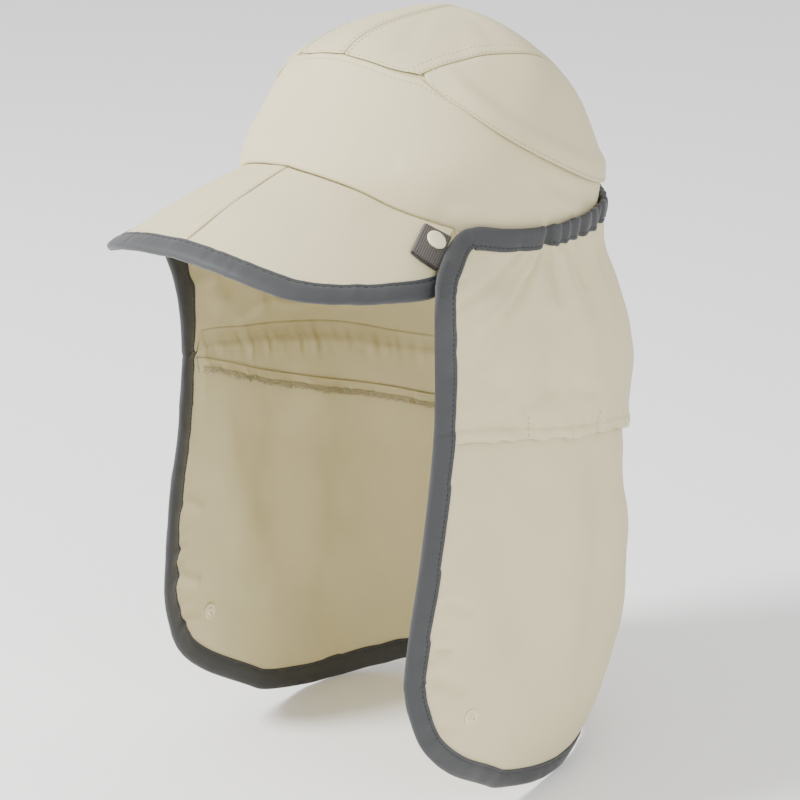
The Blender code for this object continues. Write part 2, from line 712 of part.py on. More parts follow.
def build_cape_lower(material):
    """The lower cloth, whose top is tucked up behind the fold and whose front corners are round."""
    hem, right, _, left = cloth_border()
    last = len(LOWER_ROWS) - 2
    bearing, fold = fold_line(left[last, 0], HEM_STEPS ** 1.15)
    inset = smooth_step((folded(bearing) - bearing[0] - 12.0) / 5.0)
    high = np.stack([bearing, fold - GAP + (PLEAT_TUCK + GAP) * inset], -1)
    left, right = np.concatenate([hem[:1], left[:last]]), np.concatenate([hem[-1:], right[:last]])
    left_side = np.concatenate([left[:, :2], high[:1]])
    right_side = np.concatenate([right[:, :2], high[-1:]])
    bearing, height = filled_in(hem[:, :2], high, left_side, right_side, LOWER_ROWS)
    inward = tuck_depth(bearing, height) * lower_inset(bearing)
    grid = push_out(cape_point(bearing, height), bearing, -inward)
    grid[:-1, 0], grid[:-1, -1], grid[0] = left[:, 2:], right[:, 2:], hem[:, 2:]
    sheet_object("cape_lower", grid, CLOTH, material, offset=0.0)


def tuck_depth(bearing, height):
    """How far the lower cloth lies inside the upper one: full behind the fold and the tape."""
    below = table_curve(PLEAT, 2, folded(bearing)) * CAPE_DROP - height
    return (CLOTH + 2 * GAP) * (1.0 - smooth_step(below / (4.0 * PLEAT_TUCK)))


def build_inner_tape(material):
    """The bound seam allowance that runs round the inside of the cape below the pleat."""
    share = both_sides(np.linspace(0.050, 1.0, 25))
    bearing = cape_bearing(share, -0.3 * CAPE_DROP)
    low = table_curve(PLEAT, 2, folded(bearing)) * CAPE_DROP
    height = low + TAPE_WIDTH * np.array([[0.0], [1.0]])
    bearing = cape_bearing(np.broadcast_to(share, height.shape), height)
    inward = tuck_depth(bearing, height) + CLOTH / 2 + 1.5 * GAP
    grid = push_out(cape_point(bearing, height), bearing, -inward)
    sheet_object("cape_seam_tape", grid, TAPE_THICKNESS, material)


def cape_normal(bearing, height):
    along = cape_point(bearing + 0.05, height) - cape_point(bearing - 0.05, height)
    up = cape_point(bearing, height + 1e-4) - cape_point(bearing, height - 1e-4)
    normal = np.cross(along, up)
    return normal / np.linalg.norm(normal, axis=-1, keepdims=True)


def step_into_cloth(bearing, height):
    """Steps in bearing and height that move one metre straight into the cloth, which lies on the
    left of the closed path seen from outside."""
    place = cape_point(bearing, height)
    ahead, behind = np.roll(place, -1, axis=0) - place, place - np.roll(place, 1, axis=0)
    ahead = ahead / np.linalg.norm(ahead, axis=-1, keepdims=True)
    behind = behind / np.linalg.norm(behind, axis=-1, keepdims=True)
    path = ahead + behind
    path = path / np.linalg.norm(path, axis=-1, keepdims=True)
    into = np.cross(cape_normal(bearing, height), path)
    along = (cape_point(bearing + 0.05, height) - cape_point(bearing - 0.05, height)) / 0.1
    up = (cape_point(bearing, height + 1e-4) - cape_point(bearing, height - 1e-4)) / 2e-4
    aa = np.sum(along * along, -1)
    uu = np.sum(up * up, -1)
    au = np.sum(along * up, -1)
    ia = np.sum(into * along, -1)
    iu = np.sum(into * up, -1)
    whole = aa * uu - au * au
    return np.stack([(ia * uu - iu * au) / whole, (iu * aa - ia * au) / whole])


def build_cape_binding(material):
    """The binding folded over the cape's whole border, elastic where the top is gathered."""
    bearing, height, into = border_loop()
    points, normals = [], []
    for reach in (0.0, BINDING_WIDTH):
        at_bearing = bearing + into[0] * reach
        at_height = height + into[1] * reach
        points.append(cape_point(at_bearing, at_height))
        normals.append(cape_normal(at_bearing, at_height))
    rings = channel_rings(*points, *normals, CLOTH / 2 + BINDING_ROOM, BINDING_WALL)
    tube_object("cape_binding", rings, material, closed=True)


def snap_profile(radius, height):
    """A low round cap with a softened rim."""
    return ((radius * 0.55, 0.0), (radius, 0.0), (radius, height * 0.55), (radius * 0.82, height), (radius * 0.35, height))


def stud_profile(radius, height):
    """A round flange with a short post on it."""
    return ((radius * 0.6, 0.0), (radius, 0.0), (radius, height * 0.3), (radius * 0.55, height * 0.45), (radius * 0.48, height))


def snap_bearing():
    """Bearing of the left snap, a named distance in from the cape's border at the snap's height."""
    falling = np.array(HEM)[:7]
    height = np.array([-SNAP_DEPTH])
    share = np.interp(-height / CAPE_DROP, -falling[:, 1], falling[:, 0])
    edge = cape_edge_bearing(height)
    border = edge + (180.0 - edge) * share
    radius = np.linalg.norm(cape_point(border, height)[0, :2])
    return border + math.degrees(SNAP_INSET / radius)


def build_snaps(material):
    left = snap_bearing()
    height = np.array([-SNAP_DEPTH])
    for name, bearing in (("left", left), ("right", 360.0 - left)):
        normal = cape_normal(bearing, height)[0]
        place = cape_point(bearing, height)[0]
        outer = place + normal * (CLOTH / 2 + GAP)
        inner = place - normal * (CLOTH / 2 + 4 * GAP)
        stud = stud_profile(SNAP_RADIUS, STUD_HEIGHT)
        cap = snap_profile(SNAP_RADIUS, SNAP_HEIGHT)
        turned_object("snap_stud_" + name, stud, outer, normal, material)
        turned_object("snap_cap_" + name, cap, inner, -normal, material)


def build_tabs(webbing, cream):
    """The folded webbing tabs at the temples, each with a snap."""
    inner_front, outer_front, outer_back, inner_back = np.array(TAB_CORNERS)
    along = np.linspace(1.0, 0.0, 6)[:, None, None]
    beside = np.linspace(0.0, 1.0, 5)[None, :, None]
    front = inner_front * (1 - along) + outer_front * along
    back = inner_back * (1 - along) + outer_back * along
    across, outward = np.moveaxis(front * (1 - beside) + back * beside, -1, 0)
    normal = peak_normal(across, outward)
    under = peak_point(across, outward) + normal * GAP
    over = under + normal * TAB_THICKNESS
    add_pair("tab", over, under, webbing)
    place = over[2:4, 2].mean(axis=0) + normal[2, 2] * GAP
    for name, flip in (("left", 1.0), ("right", -1.0)):
        mirror = np.array([flip, 1.0, 1.0])
        turned_object(
            "tab_snap_" + name, snap_profile(TAB_SNAP_RADIUS, SNAP_HEIGHT), place * mirror, normal[2, 2] * mirror, cream
        )


def main():
    clear_scene()
    sand = plain_material("Sand cloth", SAND, 0.8)
    slate = plain_material("Slate binding", SLATE, 0.75)
    webbing = plain_material("Tab webbing", WEBBING, 0.85)
    cream = plain_material("Snap cream", SNAP_CREAM, 0.35)
    build_crown_band(sand)
    build_crown_tops(sand)
    build_crown_rears(sand)
    build_peak_halves(sand)
    build_peak_binding(slate)
    build_cape_upper(sand)
    build_cape_lower(sand)
    build_inner_tape(sand)
    build_cape_binding(slate)
    build_tabs(webbing, cream)
    build_snaps(cream)


main()
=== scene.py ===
"""Looks of the legionnaire cap: cloth, edge tapes, webbing tabs, snaps and every line of stitches.

Metres, +Z up. The cap faces -Y and the wearer's left is +X. Heights are measured from the lower
rim of the crown at the sides. A bearing is an angle in degrees round the cap from its front, and
a share is a part of a named size.
"""

import math

import bpy
import numpy as np
from bpy.props import FloatProperty, FloatVectorProperty, PointerProperty
from mathutils import Matrix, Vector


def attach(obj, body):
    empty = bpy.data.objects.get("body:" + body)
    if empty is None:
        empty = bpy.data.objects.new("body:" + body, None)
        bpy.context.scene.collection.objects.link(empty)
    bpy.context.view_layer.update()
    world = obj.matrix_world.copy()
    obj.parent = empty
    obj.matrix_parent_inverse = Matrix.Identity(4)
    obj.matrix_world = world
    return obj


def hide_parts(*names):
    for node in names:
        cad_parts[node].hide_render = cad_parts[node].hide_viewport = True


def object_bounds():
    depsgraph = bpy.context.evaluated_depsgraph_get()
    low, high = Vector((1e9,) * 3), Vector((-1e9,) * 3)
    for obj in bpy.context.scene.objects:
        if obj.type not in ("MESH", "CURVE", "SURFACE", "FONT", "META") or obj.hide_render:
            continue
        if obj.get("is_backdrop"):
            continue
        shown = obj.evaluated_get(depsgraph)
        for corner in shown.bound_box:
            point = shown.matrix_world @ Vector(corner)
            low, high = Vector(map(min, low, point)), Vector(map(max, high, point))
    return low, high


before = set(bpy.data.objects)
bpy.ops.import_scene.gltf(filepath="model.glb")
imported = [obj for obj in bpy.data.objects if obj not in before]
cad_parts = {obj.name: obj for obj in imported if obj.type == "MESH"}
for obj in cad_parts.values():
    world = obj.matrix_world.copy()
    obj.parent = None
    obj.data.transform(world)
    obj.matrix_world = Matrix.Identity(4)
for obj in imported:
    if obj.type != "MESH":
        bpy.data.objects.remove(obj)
CAD_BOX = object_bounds()

bl_info = {
    "name": "Legionnaire Cap",
    "version": (1, 0, 0),
    "blender": (4, 5, 0),
    "location": "3D View > Sidebar > Cap",
    "description": "Builds the cloth, tapes, tabs, snaps and stitches of a sun cap with a neck cape",
    "category": "Add Mesh",
}

# Crown. Its arc is metres along the rim for one degree, starts and ends are bearings, and a row
# is the distance of a line of stitches from its seam.
CROWN_HEIGHT = 0.1123
CROWN_HALF_WIDTH = 0.0862
CROWN_FRONT = 0.0958
CROWN_BACK = 0.0999
CROWN_TUCK = 0.013
CROWN_HEART = (0.0, 0.15 * CROWN_BACK, 0.3 * CROWN_HEIGHT)
CROWN_ARC = CROWN_HALF_WIDTH * math.pi / 180.0
LIP_OVERLAP = 0.006
LIP_CLEAR = 0.0012
LIP_STAND_OFF = 0.0021
LIP_START = 46.0
LIP_ROW = 0.0016
BAND_ENDS = 37.5
BAND_COLUMNS = 480
ROOT_END = 52.4
TUCK_START = 49.5
FRONT_ROW = 0.0014
CENTRE_ROW = 0.0024
SIDE_ROWS = (0.0013, 0.0062)
REAR_WALL = 0.0013

# Peak
PEAK_LENGTH = 0.0736
PEAK_HALF_WIDTH = 0.0868
PEAK_FALL = 0.0270
PEAK_CAMBER = 0.0020
PEAK_THICKNESS = 0.0024
PEAK_SPREAD = 48.5
PEAK_BAND = 0.0095
PEAK_ROWS = (0.0016, 0.0078)
PEAK_TAPE_LIFT = 1.28

# Cape. Its arc is metres along it for one degree. The places and reaches of its temple, corner,
# tacks, gathers and pinches and its two insets are in degrees.
CAPE_DROP = 0.275
CAPE_FLARE = 0.040
CAPE_TOP = 0.0195
CAPE_ARC = 0.00155
TEMPLE_START = 50.0
TEMPLE_REACH = 36.0
CORNER_REACH = 10.0
PLEAT_HEIGHT = -0.3 * CAPE_DROP
PLEAT_ROLL = 0.0008
PLEAT_TUCK = 0.008
PLEAT_STITCH = 0.006
PLEAT_DEPTH = 0.0030
PLEAT_INSET = 6.8
SEAM_TAPE_INSET = 5.6
PLEAT_TACKS = (71.0, 99.8, 128.0, 156.5, 203.5, 232.0, 260.2, 289.0)
TAPE_WIDTH = 0.0080
TAPE_WALL = 0.0006
GATHER_COUNT = 12
GATHER_DEPTH = 0.0034
GATHER_START = 85.0
GATHER_FADE = ((0.0, 0.05, 0.16, 0.30), (0.15, 0.6, 0.35, 0.0))
PINCH_START = 84.3
PINCH_STEP = 5.63
PINCH_COUNT = 35
PINCH_DEPTH = 0.0025

# Cloth and edge tape. The join is the place where the tape's ends meet, and the tack's heights
# and end bound the short upright row of stitches beside each tab.
GAP = 0.0003
TAPE_REACH = 0.0098
TAPE_HALF = 0.0017
EDGE_TRIM = 0.0066
JOIN_BEARING = 45.2
JOIN_HEIGHT = -0.223
TACK_HEIGHTS = (0.003, 0.0165)
TACK_END = 47.0

# Threads that differ from the usual one: distance between stitches, the share of it that a
# stitch covers and radius.
PEAK_EDGE_THREAD = {"pitch": 0.0040, "share": 0.58, "radius": 0.00027}
CAPE_EDGE_THREAD = {"radius": 0.00024}
OVERLOCK_THREAD = {"pitch": 0.0019, "share": 0.95, "radius": 0.00022}
TAB_THREAD = {"pitch": 0.0021}

# Tabs and snaps. The air is what lies between a tab's two layers, and its rows and the snap's
# place are shares along and across it.
TAB_LAYER = 0.0008
TAB_AIR = 0.0006
TAB_ROWS = (0.07, 0.93)
TAB_SNAP_PLACE = (0.456, 0.35)
SNAP_RADIUS = 0.0042
STUD_HEIGHT = 0.0026
SNAP_HEIGHT = 0.0017
TAB_SNAP_RADIUS = 0.0048
SNAP_BEARING = 53.5
SNAP_DEPTH = 0.2135
TURN_STEPS = 48

# Points along and across each mesh
BAND_ROWS = 62
TOP_MESH = (150, 44)
REAR_MESH = (150, 46)
PEAK_MESH = (110, 70)
PEAK_TAPE_STEPS = 520
SEAM_TAPE_MESH = (300, 18)
PLEAT_STEPS = 800
TAB_MESH = (34, 26)

# Each side's name, the sign of its x and the seed of its soft waves
SIDES = (("left", 1.0, 1.0), ("right", -1.0, 2.0))

# Camera, from the photograph: its bearing round the cap, its climb and where it stands
CAMERA_BEARING = 43.0
CAMERA_CLIMB = 19.0
CAMERA_PLACE = (0.8390, -0.9092, 0.3387)
CAMERA_LENS = 115.2
CAMERA_SENSOR = 36.0

# Floor and light. Each light has a name, its place, what it looks at, its width and its power.
FLOOR_HALF = 30.0
FLOOR_GAP = 0.0003
WORLD_STRENGTH = 1.12
LIGHTS = (
    ("Key", (-0.9, -1.5, 1.3), (0.0, 0.0, -0.08), 0.6, 92.0),
    ("Side", (1.7, -0.5, 0.8), (0.0, 0.0, -0.05), 1.0, 15.0),
)

# Crown sections, one row for each tenth of the climb from rim to top: shares of the half
# width, the front reach, the back reach and the back reach again for the section's middle,
# then the squareness of the front half.
CROWN_COLUMNS = ("width", "front", "back", "middle", "squareness")
CROWN_SECTIONS = (
    (0.957, 1.000, 0.881, 0.096, 2.00),
    (0.980, 0.975, 0.921, 0.096, 2.00),
    (0.994, 0.945, 0.946, 0.097, 2.00),
    (0.976, 0.912, 0.876, 0.102, 1.95),
    (0.928, 0.794, 0.786, 0.111, 1.88),
    (0.841, 0.683, 0.683, 0.128, 1.95),
    (0.709, 0.587, 0.574, 0.151, 2.10),
    (0.536, 0.494, 0.480, 0.176, 2.10),
    (0.350, 0.346, 0.388, 0.200, 2.00),
    (0.178, 0.106, 0.305, 0.217, 2.00),
    (0.000, -0.223, 0.223, 0.223, 2.00),
)
BACK_SQUARENESS = 2.15

# Seams of the crown: bearing, and height as a share of the crown height.
FRONT_SEAM = ((0.0, 0.881), (13.5, 0.866), (28.0, 0.833), (37.5, 0.813))
FRONT_STITCHES = (
    (0.0, 0.859), (13.5, 0.843), (28.0, 0.808), (37.5, 0.786), (44.0, 0.752), (50.0, 0.716),
)
ROOT_SEAM = (
    (0.0, 0.454), (11.6, 0.434), (23.7, 0.388), (33.6, 0.322), (43.5, 0.266), (ROOT_END, 0.219),
)
LIP_SEAM = (
    (38.2, 0.806), (41.0, 0.785), (54.0, 0.693), (65.6, 0.599), (77.4, 0.508),
    (91.8, 0.408), (105.0, 0.330), (118.0, 0.276), (135.0, 0.248), (153.0, 0.240), (180.0, 0.240),
)
# The seam between the top strip and the rear panel: shares of half width, back reach and height.
SIDE_SEAM = (
    (0.452, -0.370, 0.815), (0.509, -0.213, 0.853), (0.559, -0.013, 0.870), (0.610, 0.170, 0.858),
    (0.622, 0.391, 0.798), (0.592, 0.600, 0.686), (0.545, 0.760, 0.534), (0.500, 0.870, 0.370),
    (0.480, 0.905, 0.240),
)
REAR_START = 38.3
REAR_END = 155.5

# Peak edge: share across, then shares of the half width, the length and the fall.
PEAK_EDGE = (
    (0.00, 0.000, 1.000, 1.000), (0.20, 0.305, 0.983, 1.070), (0.38, 0.537, 0.916, 1.230),
    (0.56, 0.746, 0.755, 1.450), (0.74, 0.915, 0.405, 1.600), (0.86, 0.977, 0.140, 1.690),
    (0.95, 0.990, -0.090, 1.770), (1.00, 0.970, -0.200, 1.780),
)
# Corners of the tab on the peak, as shares across it and outward from the root seam, and how
# far the tab reaches past the last of them, sideways along the peak.
TAB_CORNERS = ((0.869, 0.098), (0.843, 0.490), (0.957, 0.702), (1.000, 0.228))
TAB_OVERHANG = 0.0019

# Cape: bearing of its front edge against height as a share of the drop.
CAPE_EDGE = (
    (0.0364, 44.9), (-0.018, 44.7), (-0.160, 45.0), (-0.236, 44.8), (-0.327, 43.8),
    (-0.473, 41.7), (-0.600, 39.6), (-0.687, 38.7), (-1.100, 38.7),
)
# The rounded top corner: bearing and height as a share of the drop.
TOP_CORNER = (
    (44.9, 0.030), (45.5, 0.044), (47.0, 0.061), (49.0, 0.0755), (51.5, 0.0855),
    (54.4, 0.0910), (57.6, 0.0915),
)
# Cape sections: height as a share of the drop, then how far the cape stands off the crown at
# each bearing, as a share of the cape's flare. Below the crown it is measured from its rim.
CAPE_BEARINGS = ("front edge", 60.0, 85.0, 108.0, 132.0, 180.0)
CAPE_SECTIONS = (
    (0.0920, 0.14, 0.075, 0.075, 0.075, 0.075, 0.075),
    (0.0655, 0.50, 0.10, 0.075, 0.075, 0.075, 0.075),
    (0.0364, 0.79, 0.23, 0.090, 0.080, 0.080, 0.080),
    (0.0090, 0.95, 0.36, 0.140, 0.110, 0.110, 0.120),
    (-0.018, 0.965, 0.47, 0.200, 0.155, 0.145, 0.165),
    (-0.080, 0.86, 0.51, 0.370, 0.330, 0.320, 0.375),
    (-0.160, 0.78, 0.55, 0.480, 0.460, 0.505, 0.600),
    (-0.236, 0.77, 0.56, 0.495, 0.490, 0.555, 0.700),
    (-0.327, 0.81, 0.56, 0.470, 0.460, 0.530, 0.700),
    (-0.473, 0.92, 0.59, 0.480, 0.500, 0.605, 0.775),
    (-0.600, 1.00, 0.62, 0.480, 0.510, 0.640, 0.800),
    (-0.709, 1.03, 0.62, 0.430, 0.465, 0.605, 0.750),
    (-0.818, 1.00, 0.53, 0.360, 0.400, 0.440, 0.500),
    (-0.909, 0.945, 0.37, 0.220, 0.240, 0.160, 0.100),
    (-1.000, 0.85, 0.20, 0.050, -0.040, -0.300, -0.450),
)
# Hem: share of the way from the front edge to the back, height as a share of the drop.
HEM = (
    (0.0000, -0.687), (0.0064, -0.738), (0.0280, -0.815), (0.0757, -0.885), (0.1520, -0.945),
    (0.2040, -0.971), (0.3400, -0.996), (0.4510, -1.000), (0.5680, -0.989), (0.6500, -0.975),
    (0.8020, -0.964), (1.0000, -0.960),
)
# Roll of the pleat from its hidden end to its outside: rise in metres, then how many rolls deep.
PLEAT_SECTION = (
    (0.0014, 2.0), (0.0004, 1.85), (0.0001, 1.5), (0.0, 1.0), (0.0002, 0.5), (0.0005, 0.15),
)
# Pleat: bearing, height of the outer fold and of the inner tape as shares of the drop.
PLEAT = (
    (44.0, -0.256, -0.262), (50.3, -0.258, -0.280), (71.0, -0.285, -0.340), (96.0, -0.315, -0.396),
    (112.0, -0.335, -0.425), (128.4, -0.364, -0.452), (141.0, -0.378, -0.471), (180.0, -0.395, -0.495),
)

# Soft dents of the crown: bearing and height of each end in degrees and metres, then the width
# across it and its depth in metres. A minus depth is a low ridge.
CROWN_DENTS = (
    (48.0, 0.0400, 67.0, 0.0370, 0.0050, 0.0007),
    (50.0, 0.0310, 72.0, 0.0300, 0.0045, -0.0005),
    (84.0, 0.0420, 112.0, 0.0215, 0.0040, 0.0011),
    (80.0, 0.0340, 99.0, 0.0230, 0.0035, -0.0006),
    (70.0, 0.0440, 88.0, 0.0300, 0.0040, 0.0005),
    (20.0, 0.0600, 34.0, 0.0560, 0.0060, 0.0004),
    (-44.0, 0.0390, -66.0, 0.0330, 0.0055, 0.0007),
    (-80.0, 0.0400, -104.0, 0.0240, 0.0045, 0.0009),
)
TOP_DENTS = (
    (21.0, 0.1047, 60.0, 0.0995, 0.0045, 0.0009),
    (30.0, 0.1080, 75.0, 0.1050, 0.0045, -0.0006),
    (-25.0, 0.1040, -58.0, 0.1010, 0.0050, 0.0007),
    (95.0, 0.0700, 130.0, 0.0560, 0.0080, 0.0008),
    (-100.0, 0.0760, -140.0, 0.0600, 0.0090, 0.0008),
)
# Creases of the cape, in the same columns, the other way round on the right side.
CAPE_CREASES = (
    (82.6, 0.0085, 73.5, -0.0030, 0.0017, 0.0016),
    (73.5, -0.0030, 63.0, -0.0150, 0.0026, 0.0018),
    (63.0, -0.0150, 56.0, -0.0360, 0.0042, 0.0012),
    (73.0, 0.0110, 61.5, 0.0015, 0.0018, 0.0011),
    (61.5, 0.0015, 50.0, -0.0030, 0.0026, 0.0016),
    (77.0, 0.0060, 66.5, -0.0055, 0.0030, -0.0010),
    (66.5, -0.0055, 55.0, -0.0170, 0.0042, -0.0013),
    (85.6, 0.0080, 84.8, -0.0170, 0.0020, 0.0014),
    (94.5, 0.0075, 100.0, -0.0145, 0.0022, 0.0013),
    (90.0, 0.0070, 91.5, -0.0180, 0.0030, -0.0010),
    (49.0, 0.0080, 52.0, 0.0065, 0.0010, 0.0007),
    (50.0, -0.0310, 63.0, -0.0520, 0.0060, 0.0012),
    (81.0, -0.0200, 79.5, -0.0620, 0.0090, 0.0016),
    (97.0, -0.0250, 93.0, -0.0600, 0.0070, -0.0010),
    (68.0, -0.0620, 80.0, -0.0560, 0.0028, 0.0008),
    (86.0, -0.0590, 99.0, -0.0660, 0.0028, 0.0009),
    (46.8, -0.1480, 53.5, -0.1580, 0.0024, 0.0009),
    (44.0, -0.1728, 48.5, -0.1750, 0.0015, 0.0008),
    (43.6, -0.1795, 48.0, -0.1830, 0.0016, -0.0006),
    (43.4, -0.1857, 52.0, -0.1990, 0.0026, 0.0013),
    (45.6, -0.2140, 51.0, -0.2195, 0.0020, 0.0007),
    (60.0, -0.1100, 72.0, -0.1900, 0.0120, 0.0016),
    (88.0, -0.1000, 84.0, -0.2100, 0.0140, -0.0016),
    (104.0, -0.1050, 100.0, -0.2200, 0.0130, 0.0018),
    (135.0, -0.1200, 138.0, -0.2300, 0.0140, 0.0018),
    (158.0, -0.1250, 154.0, -0.2300, 0.0140, -0.0016),
)
# Soft waves of the cape: depth in metres, length in degrees and in metres, seed.
CAPE_WAVES = ((0.0013, 17.0, 0.034, 11.0), (0.0004, 6.0, 0.013, 12.0))

# Section of a folded edge tape: share of the way from the cloth's edge to the tape's inner
# line, and lift as a share of the tape's half thickness. The first row is the mouth.
TAPE_FACE = (
    (1.000, 0.50), (0.985, 0.74), (0.930, 0.86), (0.870, 0.84), (0.810, 0.74), (0.750, 0.86),
    (0.660, 1.00), (0.500, 1.08), (0.330, 1.10), (0.140, 1.04), (0.000, 0.90), (-0.080, 0.66),
    (-0.120, 0.34),
)
TAPE_NOSE = (-0.133, 0.0)
TAPE_CHANNEL = ((1.000, 0.34), (0.500, 0.42), (0.080, 0.38))
STITCH_COLUMN = 4
TACK_COLUMN = 9
OVERLOCK_ROW = 7
OVERLOCK_RISE = 0.0010

# A stitch, at each of its stations: share of the way from its middle to its end, then its width
# and its rise as shares of the thread's radius. The rise in the middle is given for each thread.
THREAD_SIDES = 5
THREAD_STATIONS = (-1.0, -0.55, 0.55, 1.0)
THREAD_WIDTHS = (0.45, 1.0, 1.0, 0.45)
THREAD_DIP = -0.9
THREAD_LIFT = 0.4

# Round fasteners: shares of the radius and of the height, from the cloth outward.
STUD_TURNING = (
    (0.60, 0.00), (1.00, 0.00), (1.02, 0.10), (1.00, 0.24), (0.93, 0.30), (0.86, 0.26), (0.80, 0.14),
    (0.60, 0.12), (0.52, 0.20), (0.47, 0.34), (0.45, 0.88), (0.41, 0.98), (0.34, 1.00), (0.27, 0.95),
    (0.25, 0.84), (0.24, 0.46), (0.10, 0.42),
)
CAP_TURNING = (
    (0.55, 0.00), (1.00, 0.00), (1.03, 0.18), (1.02, 0.40), (0.96, 0.62), (0.86, 0.78), (0.70, 0.90),
    (0.50, 0.97), (0.25, 1.00), (0.08, 1.00),
)
SOCKET_TURNING = (
    (0.55, 0.00), (1.00, 0.00), (1.02, 0.20), (0.99, 0.52), (0.92, 0.66), (0.80, 0.64), (0.70, 0.44),
    (0.62, 0.40), (0.54, 0.48), (0.48, 0.78), (0.42, 0.94), (0.35, 0.96), (0.30, 0.84), (0.28, 0.34),
    (0.10, 0.30),
)


class CapSizes(bpy.types.PropertyGroup):
    """Sizes that change the finish without moving any seam."""

    cloth: FloatProperty(
        name="Cloth", description="Thickness of the cloth walls",
        default=0.0009, min=0.0004, max=0.0012, unit="LENGTH", precision=5)
    stitch_pitch: FloatProperty(
        name="Stitch pitch", description="Distance from one stitch to the next",
        default=0.0026, min=0.0015, max=0.006, unit="LENGTH", precision=5)
    thread: FloatProperty(
        name="Thread", description="Radius of the sewing thread",
        default=0.00019, min=0.0001, max=0.0005, unit="LENGTH", precision=5)
    rib_pitch: FloatProperty(
        name="Rib pitch", description="Distance between the fine ribs woven into the cloth",
        default=0.0011, min=0.0004, max=0.004, unit="LENGTH", precision=5)
    crease: FloatProperty(
        name="Crease depth", description="Depth of the creases as a share of the usual ones",
        default=1.0, min=0.0, max=1.5, subtype="FACTOR")


class CapColours(bpy.types.PropertyGroup):
    """Colours of the finishes."""

    cloth: FloatVectorProperty(
        name="Cloth", description="Sand cloth of crown, peak and cape",
        default=(0.620, 0.552, 0.335, 1.0), size=4, subtype="COLOR", min=0.0, max=1.0)
    tape: FloatVectorProperty(
        name="Edge tape", description="Slate tape round the peak and the cape",
        default=(0.041, 0.0425, 0.045, 1.0), size=4, subtype="COLOR", min=0.0, max=1.0)
    webbing: FloatVectorProperty(
        name="Webbing", description="Brown threads of the tabs",
        default=(0.042, 0.027, 0.016, 1.0), size=4, subtype="COLOR", min=0.0, max=1.0)
    webbing_fleck: FloatVectorProperty(
        name="Webbing fleck", description="Grey threads of the tabs",
        default=(0.130, 0.126, 0.122, 1.0), size=4, subtype="COLOR", min=0.0, max=1.0)
    snap: FloatVectorProperty(
        name="Snap", description="Cream plastic of the snaps",
        default=(0.740, 0.660, 0.450, 1.0), size=4, subtype="COLOR", min=0.0, max=1.0)


# Curves and surfaces of the cap


def spline(knots, values, at):
    """Smooth curve through values at the knots, which never overshoots between two of them.
    Values may hold one column for each point of at."""
    knots = np.asarray(knots, float)
    values = np.asarray(values, float)
    at = np.asarray(at, float)
    if knots[0] > knots[-1]:
        knots = knots[::-1]
        values = values[::-1]
    steps = np.diff(knots)
    if values.ndim > 1:
        steps = steps[:, None]
    rise = np.diff(values, axis=0) / steps
    slope = np.empty_like(values)
    slope[0] = rise[0]
    slope[-1] = rise[-1]
    middle = (rise[:-1] * steps[1:] + rise[1:] * steps[:-1]) / (steps[:-1] + steps[1:])
    limit = 3.0 * np.minimum(np.abs(rise[:-1]), np.abs(rise[1:]))
    middle = np.clip(middle, -limit, limit)
    slope[1:-1] = np.where(rise[:-1] * rise[1:] > 0, middle, 0.0)
    index = np.clip(np.searchsorted(knots, at) - 1, 0, len(knots) - 2)
    gap = knots[index + 1] - knots[index]
    share = np.clip((at - knots[index]) / gap, 0.0, 1.0)
    if values.ndim > 1:
        columns = np.arange(values.shape[1])
        low, high = values[index, columns], values[index + 1, columns]
        slope_low, slope_high = slope[index, columns], slope[index + 1, columns]
    else:
        low, high = values[index], values[index + 1]
        slope_low, slope_high = slope[index], slope[index + 1]
    square, cube = share * share, share ** 3
    return (
        low * (2 * cube - 3 * square + 1)
        + high * (3 * square - 2 * cube)
        + slope_low * gap * (cube - 2 * square + share)
        + slope_high * gap * (cube - square)
    )


def table_curve(table, column, at):
    rows = np.array(table)
    return spline(rows[:, 0], rows[:, column], at)


def smooth_step(value):
    value = np.clip(value, 0.0, 1.0)
    return value * value * (3.0 - 2.0 * value)


def bump(distance, width):
    """A rounded hump of height one that is gone a little beyond its width."""
    return np.exp(-(distance / width) ** 2)


def unit(vectors):
    """The same vectors, each of length one."""
    return vectors / np.linalg.norm(vectors, axis=-1, keepdims=True)


def lattice(column, row, seed):
    """A fixed value from -1 to 1 for each point of a lattice."""
    value = np.sin(column * 127.1 + row * 311.7 + seed * 74.7) * 43758.5453
    return 2.0 * (value - np.floor(value)) - 1.0


def waves(across, up, seed):
    """Soft uneven waves between -1 and 1, about one unit long."""
    column, row = np.floor(across), np.floor(up)
    x, y = smooth_step(across - column), smooth_step(up - row)
    low = lattice(column, row, seed) * (1 - x) + lattice(column + 1, row, seed) * x
    high = lattice(column, row + 1, seed) * (1 - x) + lattice(column + 1, row + 1, seed) * x
    return low * (1 - y) + high * y


def edge_rows(count, crowding=0.55):
    """Shares from 0 to 1 that stand closer together at both ends."""
    share = np.linspace(0.0, 1.0, count)
    return (1 - crowding) * share + crowding * (0.5 - 0.5 * np.cos(np.pi * share))


def crown_section(height):
    """Half width, front and back reach from the section's middle, the middle and the squareness."""
    climb = np.arcsin(np.clip(height / CROWN_HEIGHT, 0.0, 1.0)) / (math.pi / 2) * 10.0
    rows = np.array(CROWN_SECTIONS)
    knots = np.arange(len(rows))
    column = {name: spline(knots, rows[:, i], climb) for i, name in enumerate(CROWN_COLUMNS)}
    middle = column["middle"] * CROWN_BACK
    return (
        np.maximum(column["width"] * CROWN_HALF_WIDTH, 1e-6),
        np.maximum(column["front"] * CROWN_FRONT + middle, 1e-6),
        np.maximum(column["back"] * CROWN_BACK - middle, 1e-6),
        middle,
        column["squareness"],
    )


